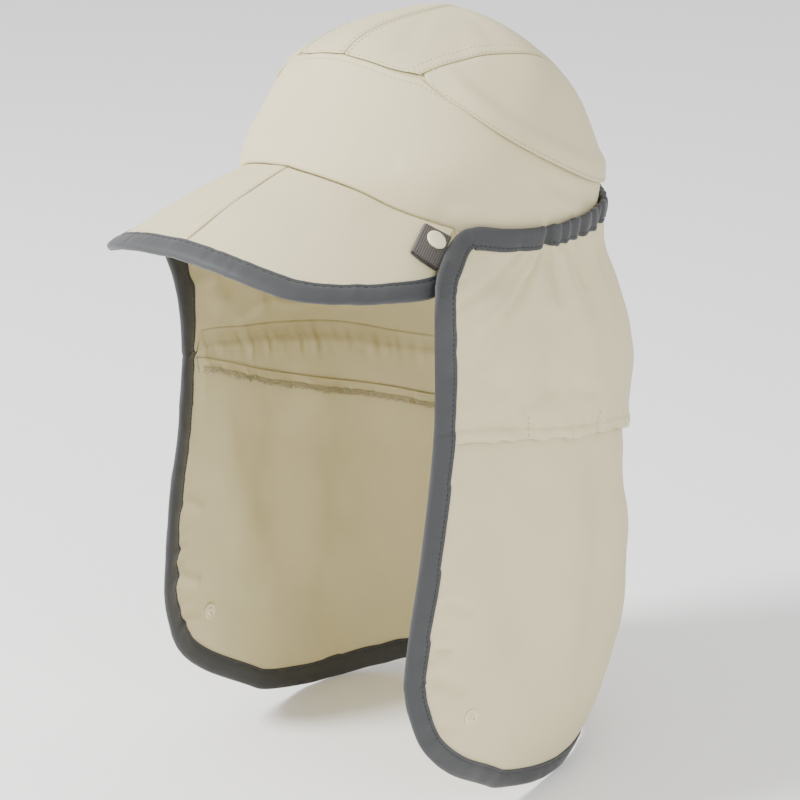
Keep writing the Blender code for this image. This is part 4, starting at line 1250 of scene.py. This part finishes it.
def top_grid(sign, seed):
    """Half of the top strip, drawn on the left, from the front seam over the crown to the back,
    with its distances from the front seam, the centre and the side seam."""
    along = edge_rows(TOP_MESH[0], 0.45)
    across = edge_rows(TOP_MESH[1], 0.5)
    middle = centre_line(along)
    edge = side_seam(along, inset=-GAP)
    grid = middle[:, None] * (1 - across)[None, :, None] + edge[:, None] * across[None, :, None]
    front = crown_point(BAND_ENDS * across, front_seam_height(BAND_ENDS * across) + GAP / 2)
    fade = (1.0 - smooth_step(along / 0.3))[:, None, None]
    grid = grid + fade * (front - grid[0])[None] * (1 - across ** 4)[None, :, None]
    grid = onto_crown(grid)
    grid[..., 0] += GAP / 2 * (1 - across)[None]
    low, _ = row_distances(grid)
    centre, side = column_distances(grid)
    relief = lip_stand_off(grid) + seam_relief(low, FRONT_ROW)
    relief = relief + seam_relief(centre, CENTRE_ROW, 0.0004) + seam_relief(side, SIDE_ROWS[0], 0.0004)
    relief = relief + 0.00035 * (1.0 - smooth_step((side - 0.0058) / 0.0012))
    bearing = np.abs(crown_bearing(grid))
    relief = relief + strokes(TOP_DENTS, sign * bearing, grid[..., 2], 0.6 * CROWN_ARC)
    relief = relief + 0.0004 * waves(grid[..., 0] / 0.03, grid[..., 1] / 0.035, 30.0 + seed)
    return onto_crown(grid, relief), low, centre, side


def rear_grid(sign, seed):
    """A rear panel, drawn on the left, whose lower lip stands a little outside the band, with its
    distances from that lip."""
    stations = np.concatenate([[0.014], np.linspace(0.03, 0.955, REAR_MESH[0])])
    upper = side_seam(stations, inset=GAP)
    bearing = REAR_START + (REAR_END - REAR_START) * stations
    lower = crown_point(bearing, lip_height(bearing))
    across = edge_rows(REAR_MESH[1], 0.5)[:, None]
    grid = onto_crown(lower * (1 - across)[..., None] + upper * across[..., None])
    low, high = row_distances(grid)
    relief = lip_stand_off(grid) + seam_relief(high, SIDE_ROWS[0], 0.0006)
    relief = relief - 0.00022 * bump(low - LIP_ROW, 0.0005) + 0.0002 * bump(low - 0.0006, 0.0006)
    place = np.abs(crown_bearing(grid))
    relief = relief + strokes(TOP_DENTS, sign * place, grid[..., 2], CROWN_ARC)
    relief = relief + 0.0005 * waves(place / 24.0, grid[..., 2] / 0.022, 40.0 + seed)
    return onto_crown(grid, relief), low


class CAP_OT_crown(bpy.types.Operator):
    """Build the crown: its band, the two top strips, the two vented rear panels and their stitches"""

    bl_idname = "cap.crown"
    bl_label = "Crown"

    def execute(self, context):
        sand, thread = finish_of("Sand cloth"), finish_of("Sand thread")
        band = cloth_object("crown_cloth", band_grid()[:, :-1], sand, closed=True)
        settle(band, "sand_cloth", "crown_band")
        at = np.linspace(-50.0, 50.0, 160)
        lines = [crown_line(at, table_curve(FRONT_STITCHES, 1, np.abs(at)) * CROWN_HEIGHT)]
        tops, rears = [], []
        for name, sign, seed in SIDES:
            flip = np.array([sign, 1.0, 1.0])
            strip, front, centre, side = top_grid(sign, seed)
            panel, low = rear_grid(sign, seed)
            top = cloth_object("top_strip_" + name, on_side(strip, sign), sand)
            tops.append(settle(top, "sand_cloth", "crown_top_" + name))
            rear = cloth_object("rear_panel_" + name, on_side(panel, sign), sand, wall=REAR_WALL)
            rears.append(settle(rear, "sand_cloth", "crown_rear_" + name))
            turned = np.swapaxes(strip, 0, 1)
            found = [
                line_at(strip, front, FRONT_ROW),
                line_at(turned, centre.T, CENTRE_ROW),
                line_at(turned, side.T, SIDE_ROWS[0]),
                line_at(turned[:, 4:], side.T[:, 4:], SIDE_ROWS[1]),
                line_at(panel, low, LIP_ROW),
            ]
            for points, normals in found:
                outward = np.sign(np.sum(normals * (points - np.array(CROWN_HEART)), -1, keepdims=True))
                lines.append((points * flip, normals * outward * flip))
        threads = settle(thread_object("crown_stitches", lines, thread), "sand_cloth")
        return {"FINISHED"}


# Peak


def peak_grid(sign, seed):
    """Half of the peak's upper cloth, drawn on the left, from its edge in to the root seam. The
    right half laps over the centre seam."""
    across = edge_rows(PEAK_MESH[0], 0.25)
    outward = 1.0 - edge_rows(PEAK_MESH[1], 0.35)
    across, outward = np.broadcast_arrays(across[None], outward[:, None])
    grid = peak_point(across, outward)
    normal = peak_normal(across, outward)
    grid[..., 0] += GAP / 2 * (1 - across)
    end = PEAK_SPREAD + 2.2
    corner = crown_point(end, root_seam_height(end) - GAP) - peak_point(1.0, 0.0)
    grid = grid + corner * (smooth_step((across - 0.9) / 0.1) * (1 - outward) ** 3)[..., None]
    middle = grid[..., 0]
    relief = -0.00045 * bump(middle, 0.0006)
    if sign < 0:
        relief = relief + 0.00035 * (1.0 - smooth_step((middle - PEAK_BAND) / 0.0010))
        for row in PEAK_ROWS:
            relief = relief - 0.0002 * bump(middle - row, 0.0005)
    soft = waves(across * 5.0, outward * 4.0, 50.0 + seed)
    relief = relief + 0.0005 * soft * outward * (1 - outward) * 3.0
    return grid + normal * relief[..., None]


def tape_rings(edge, inner, edge_normal, inner_normal, lift):
    """Rings of a folded tape round an edge, from the mouth on its face over the edge and back."""
    face = np.array(TAPE_FACE)
    back = face[::-1] * np.array([1.0, -1.0])
    channel = np.array(TAPE_CHANNEL)
    under = channel * np.array([1.0, -1.0])
    section = np.concatenate([face, [TAPE_NOSE], back, under, channel[::-1]])
    share, rise = section[:, 0][None, :, None], section[:, 1][None, :, None]
    place = edge[:, None] * (1 - share) + inner[:, None] * share
    normal = unit(edge_normal[:, None] * (1 - share) + inner_normal[:, None] * share)
    return place + normal * rise * TAPE_HALF * lift[:, None, None]


def bar_tack(rings, bearing, height):
    """The short upright row of stitches beside each tab, on the outer side of the tape."""
    low, high = TACK_HEIGHTS
    near = (height > low) & (height < high) & (folded(bearing) < TACK_END)
    lines = []
    for chosen in (near & (bearing < 90.0), near & (bearing > 270.0)):
        tack = rings[chosen]
        normal = tack[:, TACK_COLUMN] - tack[:, 2 * len(TAPE_FACE) - TACK_COLUMN]
        lines.append((tack[:, TACK_COLUMN], unit(normal)))
    return lines


def tape_stitches(rings):
    """The two rows of stitches of a tape, on its face and on its back."""
    back = 2 * len(TAPE_FACE) - STITCH_COLUMN
    lines = []
    for column in (STITCH_COLUMN, back):
        normal = unit(rings[:, STITCH_COLUMN] - rings[:, back])
        lines.append((rings[:, column], normal if column == STITCH_COLUMN else -normal))
    return lines


class CAP_OT_peak(bpy.types.Operator):
    """Build the peak: its two covered halves, the tape folded over its edge and their stitches"""

    bl_idname = "cap.peak"
    bl_label = "Peak"

    def execute(self, context):
        sand, slate = finish_of("Sand cloth"), finish_of("Slate edge tape")
        for name, sign, seed in SIDES:
            grid = on_side(peak_grid(sign, seed), sign)
            cover = cloth_object("peak_cover_" + name, grid, sand, wall=PEAK_THICKNESS)
            settle(cover, "sand_cloth", "peak_" + name)
        outward = np.linspace(0.02, 0.93, 90)
        lines = []
        for distance in PEAK_ROWS:
            across = -distance / (PEAK_HALF_WIDTH * (0.85 + 0.6 * outward))
            points = peak_point(across, outward)
            points[:, 0] = -distance
            normal = peak_normal(across, outward)
            lines.append((points + normal * 0.00012, normal))
        seam = settle(thread_object("peak_stitches", lines, finish_of("Sand thread")), "sand_cloth")
        across = np.linspace(-1.0, 1.0, PEAK_TAPE_STEPS)
        reach = np.linalg.norm(peak_point(across, 1.0) - peak_point(across, 0.0), axis=-1)
        points, normals = [], []
        for out in (np.ones_like(across), 1 - TAPE_REACH / reach):
            normal = peak_normal(across, out)
            normals.append(normal)
            points.append(peak_point(across, out) - normal * PEAK_THICKNESS / 2)
        lift = PEAK_TAPE_LIFT * (1.0 + 0.05 * waves(across * 40.0, 0.0, 60.0))
        rings = tape_rings(*points, *normals, lift)
        rings[..., 2] += 0.00018 * waves(across * 26.0, 0.0, 61.0)[:, None]
        tape = settle(tube_object("peak_edge_tape", rings, slate), "slate_binding", "peak_binding")
        threads = thread_object(
            "peak_edge_stitches", tape_stitches(rings), finish_of("Slate thread"), **PEAK_EDGE_THREAD)
        settle(threads, "slate_binding")
        return {"FINISHED"}


# Cape


def upper_cape_grid():
    """The gathered upper cloth, from the crown's rim down to the pleat, rolled under at its fold."""
    _, right, top, left = cloth_border()
    first = len(LOWER_ROWS) - 2
    start = left[first, 0]
    steps = np.linspace(0.0, 1.0, (len(top) + 1) // 2)
    bearing = both_bearings(start + (180.0 - start) * steps)
    fold = np.stack([bearing, fold_height(bearing)], -1)
    left = np.concatenate([left[first:], top[:1]])
    right = np.concatenate([right[first:], top[-1:]])
    bearing, height = filled_in(fold, top, left, right, UPPER_ROWS)
    above = height - fold_height(bearing)
    near = 1.0 - smooth_step(above / 0.010)
    slack = 1.0 - bump(np.min(np.abs(bearing[..., None] - np.array(PLEAT_TACKS)), axis=-1), 5.0)
    slack = slack * smooth_step((folded(bearing) - 47.0) / 6.0)
    slack = slack * (0.75 + 0.5 * waves(bearing / 9.0, 0.0, 70.0))
    flare = near * (0.0003 + 0.0022 * slack)
    lift = PLEAT_ROLL + 0.0009 * (1.0 - slack) + 0.0008 * waves(bearing / 3.3, 0.0, 71.0)
    body = cape_surface(bearing, height + lift * near, flare)
    roll = []
    level, low = bearing[0], height[0]
    out = flare[0] + 0.0002
    rise = lift[0] - PLEAT_ROLL
    for up, depth in PLEAT_SECTION:
        place = cape_point(level, low + up + rise)
        wrinkle = cape_relief(level, low + PLEAT_ROLL)
        roll.append(push_out(place, level, out - depth * PLEAT_ROLL + wrinkle))
    return np.concatenate([np.array(roll), body])


def lower_cape_grid():
    """The lower cloth, whose top is tucked up behind the fold and whose front corners are round."""
    hem, right, _, left = cloth_border()
    last = len(LOWER_ROWS) - 2
    start = left[last, 0]
    bearing = both_bearings(start + (180.0 - start) * HEM_STEPS ** 1.15)
    inset = smooth_step((folded(bearing) - start - 1.0) / 4.0)
    high = np.stack([bearing, fold_height(bearing) - GAP + (2 * PLEAT_TUCK + GAP) * inset], -1)
    left = np.concatenate([hem[:1], left[:last], high[:1]])
    right = np.concatenate([hem[-1:], right[:last], high[-1:]])
    bearing, height = filled_in(hem, high, left, right, LOWER_ROWS)
    above = (height - fold_height(bearing) - 0.0010) / (2 * PLEAT_TUCK - 0.0020)
    inward = tuck_depth(bearing, height) * lower_inset(bearing) * (1.0 - 0.96 * smooth_step(above))
    return cape_surface(bearing, height, -inward)


def seam_tape_grid():
    """The bound seam allowance inside the cape, puckered by its seam."""
    edge = cape_edge_bearing(PLEAT_HEIGHT)
    bearing = both_bearings(np.linspace(edge + SEAM_TAPE_INSET, 180.0, SEAM_TAPE_MESH[0]))
    low = table_curve(PLEAT, 2, folded(bearing)) * CAPE_DROP
    share = edge_rows(SEAM_TAPE_MESH[1], 0.3)[:, None]
    height = low + TAPE_WIDTH * share + 0.0006 * waves(bearing / 3.1, 0.0, 80.0) * (1 - share)
    bearing = np.broadcast_to(bearing, height.shape)
    inward = tuck_depth(bearing, height) * lower_inset(bearing) + 0.0007
    ripple = waves(bearing / 1.9, share * 1.5, 81.0) + waves(bearing / 4.3, share, 82.0)
    inward = inward + 0.0008 * np.abs(ripple) * (1.25 - share) + 0.0007 * (1 - share)
    return cape_surface(bearing, height, -inward)


def overlock_lines(grid):
    """Zigzag threads over the lower edge of the seam tape, and a row along their upper points."""
    normals = -grid_normals(grid)
    columns = np.arange(2, grid.shape[1] - 2)
    lines = []
    for row in (np.where(columns % 2 == 0, 0, OVERLOCK_ROW), OVERLOCK_ROW):
        normal = normals[row, columns]
        lines.append((grid[row, columns] + normal * OVERLOCK_RISE, normal))
    return lines


def pleat_lines():
    """Stitches along the pleat, and the short upright tacks that hold it."""
    edge = cape_edge_bearing(PLEAT_HEIGHT)
    bearing = np.linspace(edge + PLEAT_INSET, 360.0 - edge - PLEAT_INSET, PLEAT_STEPS)
    height = fold_height(bearing) + PLEAT_STITCH
    normal = cape_normal(bearing, height)
    lines = [(cape_surface(bearing, height) + normal * 0.00045, normal)]
    for tack in PLEAT_TACKS:
        height = fold_height(tack) + np.linspace(0.0008, 0.0125, 14)
        at = np.full_like(height, tack)
        normal = cape_normal(at, height)
        out = 0.0004 * (1.0 - smooth_step((height - fold_height(tack)) / 0.010))
        lines.append((cape_surface(at, height, out) + normal * 0.00055, normal))
    return lines


class CAP_OT_cape(bpy.types.Operator):
    """Build the cape: its upper and lower cloth, the tape of the seam inside it and their stitches"""

    bl_idname = "cap.cape"
    bl_label = "Cape"

    def execute(self, context):
        sand, thread = finish_of("Sand cloth"), finish_of("Sand thread")
        upper = cloth_object("upper_cape", upper_cape_grid(), sand, offset=0.0)
        lower = cloth_object("lower_cape", lower_cape_grid(), sand, offset=0.0)
        grid = seam_tape_grid()
        tape = cloth_object("inner_seam_tape", grid, sand, wall=TAPE_WALL)
        settle(upper, "sand_cloth", "cape_upper")
        settle(lower, "sand_cloth", "cape_lower")
        settle(tape, "sand_cloth", "cape_seam_tape")
        pleat = settle(thread_object("pleat_stitches", pleat_lines(), thread), "sand_cloth")
        overlock = thread_object("overlock_stitches", overlock_lines(grid), thread, **OVERLOCK_THREAD)
        settle(overlock, "sand_cloth")
        return {"FINISHED"}


def cape_tape_rings():
    """Rings of the tape folded over the cape's whole border, drawn in where the top is elastic."""
    bearing, height, into = border_loop()
    side = folded(bearing)
    on_top = smooth_step((height - cape_top_height(side) + 0.004) / 0.002) * (side > GATHER_START - 4.0)
    pull = np.zeros_like(bearing)
    for place, depth, _, _ in pinch_table():
        pull += depth * bump(bearing - place, 1.15)
    pull = pull * on_top
    crease = bpy.context.scene.cap_sizes.crease
    wobble = waves(bearing / 1.7, height / 0.004, 90.0) * on_top
    points, normals = [], []
    for reach, shift, share in ((0.0, 0.0004, 0.5), (TAPE_REACH, -0.0008, 0.9)):
        at = reach + shift * pull + 0.0004 * wobble * on_top
        at_bearing, at_height = bearing + into[0] * at, height + into[1] * at
        relief = crease * cape_relief(at_bearing, at_height) * share
        points.append(push_out(cape_point(at_bearing, at_height), at_bearing, relief))
        normals.append(cape_normal(at_bearing, at_height))
    lift = 1.0 - 0.20 * np.minimum(pull, 1.9) + 0.09 * waves(bearing / 3.3, height / 0.008, 91.0)
    join = np.hypot((bearing - JOIN_BEARING) * CAPE_ARC, height - JOIN_HEIGHT)
    lift = lift - 0.25 * bump(join, 0.0011) + 0.10 * bump(join - 0.003, 0.002)
    return tape_rings(*points, *normals, lift), bearing, height


class CAP_OT_cape_tape(bpy.types.Operator):
    """Build the tape folded over the cape's edge, elastic along the gathered top, and its stitches"""

    bl_idname = "cap.cape_tape"
    bl_label = "Cape edge tape"

    def execute(self, context):
        rings, bearing, height = cape_tape_rings()
        tape = tube_object("cape_edge_tape", rings, finish_of("Slate edge tape"), closed=True)
        settle(tape, "slate_binding", "cape_binding")
        lines = tape_stitches(rings) + bar_tack(rings, bearing, height)
        threads = thread_object("cape_edge_stitches", lines, finish_of("Slate thread"), **CAPE_EDGE_THREAD)
        settle(threads, "slate_binding")
        return {"FINISHED"}


# Tabs and snaps


def tab_point(share, beside, lift):
    """A point over the peak on the left tab, from the cape (0) to its fold (1) and from the crown
    side (0) to the outer side (1), and the peak's normal there."""
    inner_front, outer_front, outer_back, inner_back = np.array(TAB_CORNERS)
    share, beside = np.asarray(share, float)[..., None], np.asarray(beside, float)[..., None]
    back = inner_back * (1 - beside) + outer_back * beside
    front = inner_front * (1 - beside) + outer_front * beside
    across, outward = np.moveaxis(back * (1 - share) + front * share, -1, 0)
    normal = peak_normal(across, outward)
    sideways = peak_point(*inner_back) - peak_point(inner_back[0] - 0.05, inner_back[1])
    overhang = unit(sideways) * TAB_OVERHANG * (1 - share) * (1 - beside)
    return peak_point(across, outward) + normal * lift + overhang, normal


def tab_grid():
    """The left tab: a strip of webbing folded back on itself at its front end."""
    along = np.linspace(0.0, 1.0, TAB_MESH[0])
    beside = edge_rows(TAB_MESH[1], 0.3)
    turns = np.radians(np.linspace(-90.0, 90.0, 11)[1:-1])
    low, high = GAP + TAB_LAYER / 2, GAP + 1.75 * TAB_LAYER + TAB_AIR
    radius = (high - low) / 2
    stations = [(share, low, 0.0) for share in along]
    stations += [(1.0, low + radius + radius * math.sin(turn), radius * math.cos(turn)) for turn in turns]
    stations += [(share, high, 0.0) for share in along[::-1]]
    ahead = unit(tab_point(1.0, beside, 0.0)[0] - tab_point(0.9, beside, 0.0)[0])
    rows = []
    for share, lift, beyond in stations:
        swell = 0.0003 * math.sin(math.pi * share) * (lift == high)
        point, _ = tab_point(share, beside, lift + swell)
        rows.append(point + ahead * (beyond - radius * share))
    return np.array(rows)


class CAP_OT_tabs(bpy.types.Operator):
    """Build the folded webbing tabs at the temples, each with its snap cap and stitches"""

    bl_idname = "cap.tabs"
    bl_label = "Tabs"

    def execute(self, context):
        webbing, plastic = finish_of("Tab webbing"), finish_of("Snap plastic")
        left = tab_grid()[:, ::-1]
        high = GAP + 2.25 * TAB_LAYER + TAB_AIR
        share = np.linspace(0.06, 0.90, 30)
        place, normal = tab_point(*TAB_SNAP_PLACE, high + 0.0002)
        for name, sign, _ in SIDES:
            flip = np.array([sign, 1.0, 1.0])
            grid = on_side(left, sign)
            tab = cloth_object("webbing_tab_" + name, grid, webbing, wall=TAB_LAYER, offset=0.0)
            settle(tab, "tab_webbing", "tab_" + name)
            rows = [tab_point(share, beside, high) for beside in TAB_ROWS]
            lines = [(points * flip, normals * flip) for points, normals in rows]
            threads = thread_object("tab_stitches_" + name, lines, finish_of("Brown thread"), **TAB_THREAD)
            settle(threads, "tab_webbing")
            cap = turned_object(
                "tab_snap_cap_" + name, CAP_TURNING, TAB_SNAP_RADIUS, SNAP_HEIGHT, place * flip,
                normal * flip, plastic)
            settle(cap, "snap_plastic", "tab_snap_" + name)
        return {"FINISHED"}


class CAP_OT_snaps(bpy.types.Operator):
    """Build the snap studs near the cape's front corners and the sockets behind them"""

    bl_idname = "cap.snaps"
    bl_label = "Snaps"

    def execute(self, context):
        plastic = finish_of("Snap plastic")
        half = context.scene.cap_sizes.cloth / 2
        for name, sign, _ in SIDES:
            bearing = np.array([SNAP_BEARING if sign > 0 else 360.0 - SNAP_BEARING])
            height = np.array([-SNAP_DEPTH])
            normal = cape_normal(bearing, height)[0]
            place = cape_surface(bearing, height)[0]
            stud = turned_object(
                "snap_stud_cream_" + name, STUD_TURNING, SNAP_RADIUS, STUD_HEIGHT,
                place + normal * half, normal, plastic)
            settle(stud, "snap_plastic", "snap_stud_" + name)
            socket = turned_object(
                "snap_socket_cream_" + name, SOCKET_TURNING, SNAP_RADIUS, SNAP_HEIGHT,
                place - normal * half, -normal, plastic)
            settle(socket, "snap_plastic", "snap_cap_" + name)
        return {"FINISHED"}


# Stage


def area_light(name, place, aim, width, energy):
    """A soft round light that looks at a point."""
    data = bpy.data.lights.new(name, "AREA")
    data.shape = "DISK"
    data.size = width
    data.energy = energy
    light = bpy.data.objects.new(name, data)
    bpy.context.scene.collection.objects.link(light)
    away = unit(np.array(place) - np.array(aim))
    right = unit(np.cross((0.0, 0.0, 1.0), away))
    up = np.cross(away, right)
    turn = Matrix(np.column_stack([right, up, away]).tolist()).to_4x4()
    light.matrix_world = Matrix.Translation(place) @ turn


class CAP_OT_stage(bpy.types.Operator):
    """Build the pale floor, the soft lights and the camera"""

    bl_idname = "cap.stage"
    bl_label = "Stage"

    def execute(self, context):
        scene = context.scene
        low = min(CAD_BOX[0][2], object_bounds()[0][2]) - FLOOR_GAP
        half = FLOOR_HALF
        corners = [(-half, -half, low), (half, -half, low), (half, half, low), (-half, half, low)]
        mesh = bpy.data.meshes.new("floor")
        mesh.from_pydata(corners, [], [(0, 1, 2, 3)])
        finish = Finish("Pale floor", (0.95, 0.95, 0.95, 1.0), 0.9)
        clouds = finish.noise(0.8, 2.0)
        finish.colour(finish.mix(clouds, (0.94, 0.94, 0.94, 1.0), (0.96, 0.96, 0.96, 1.0)))
        linked("floor", mesh, finish.material)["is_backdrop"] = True
        world = bpy.data.worlds.new("Studio")
        world.use_nodes = True
        sky = world.node_tree.nodes["Background"]
        sky.inputs["Color"].default_value = (1.0, 1.0, 1.0, 1.0)
        sky.inputs["Strength"].default_value = WORLD_STRENGTH
        scene.world = world
        for light in LIGHTS:
            area_light(*light)
        data = bpy.data.cameras.new("Photograph")
        data.lens = CAMERA_LENS
        data.sensor_width = CAMERA_SENSOR
        data.clip_end = 100.0
        camera = bpy.data.objects.new("Photograph", data)
        scene.collection.objects.link(camera)
        turn, climb = math.radians(CAMERA_BEARING), math.radians(CAMERA_CLIMB)
        level = math.cos(climb)
        back = np.array([level * math.sin(turn), -level * math.cos(turn), math.sin(climb)])
        right = np.array([math.cos(turn), math.sin(turn), 0.0])
        up = np.cross(back, right)
        look = Matrix(np.column_stack([right, up, back]).tolist()).to_4x4()
        camera.matrix_world = Matrix.Translation(CAMERA_PLACE) @ look
        scene.camera = camera
        return {"FINISHED"}


OPERATORS = (
    CAP_OT_crown, CAP_OT_peak, CAP_OT_cape, CAP_OT_cape_tape, CAP_OT_tabs, CAP_OT_snaps, CAP_OT_stage,
)


class CAP_PT_tools(bpy.types.Panel):
    """Lists the cap's sizes, colours and pieces"""

    bl_label = "Legionnaire Cap"
    bl_idname = "CAP_PT_tools"
    bl_space_type = "VIEW_3D"
    bl_region_type = "UI"
    bl_category = "Cap"

    def draw(self, context):
        for settings in (context.scene.cap_sizes, context.scene.cap_colours):
            for name in settings.__annotations__:
                self.layout.prop(settings, name)
        for operator in OPERATORS:
            self.layout.operator(operator.bl_idname)


CLASSES = (CapSizes, CapColours) + OPERATORS + (CAP_PT_tools,)


def register():
    for cls in CLASSES:
        bpy.utils.register_class(cls)
    bpy.types.Scene.cap_sizes = PointerProperty(type=CapSizes)
    bpy.types.Scene.cap_colours = PointerProperty(type=CapColours)


def unregister():
    del bpy.types.Scene.cap_colours
    del bpy.types.Scene.cap_sizes
    for cls in reversed(CLASSES):
        bpy.utils.unregister_class(cls)


def main():
    register()
    bpy.ops.cap.crown()
    bpy.ops.cap.peak()
    bpy.ops.cap.cape()
    bpy.ops.cap.cape_tape()
    bpy.ops.cap.tabs()
    bpy.ops.cap.snaps()
    bpy.ops.cap.stage()


if __name__ == "__main__":
    main()
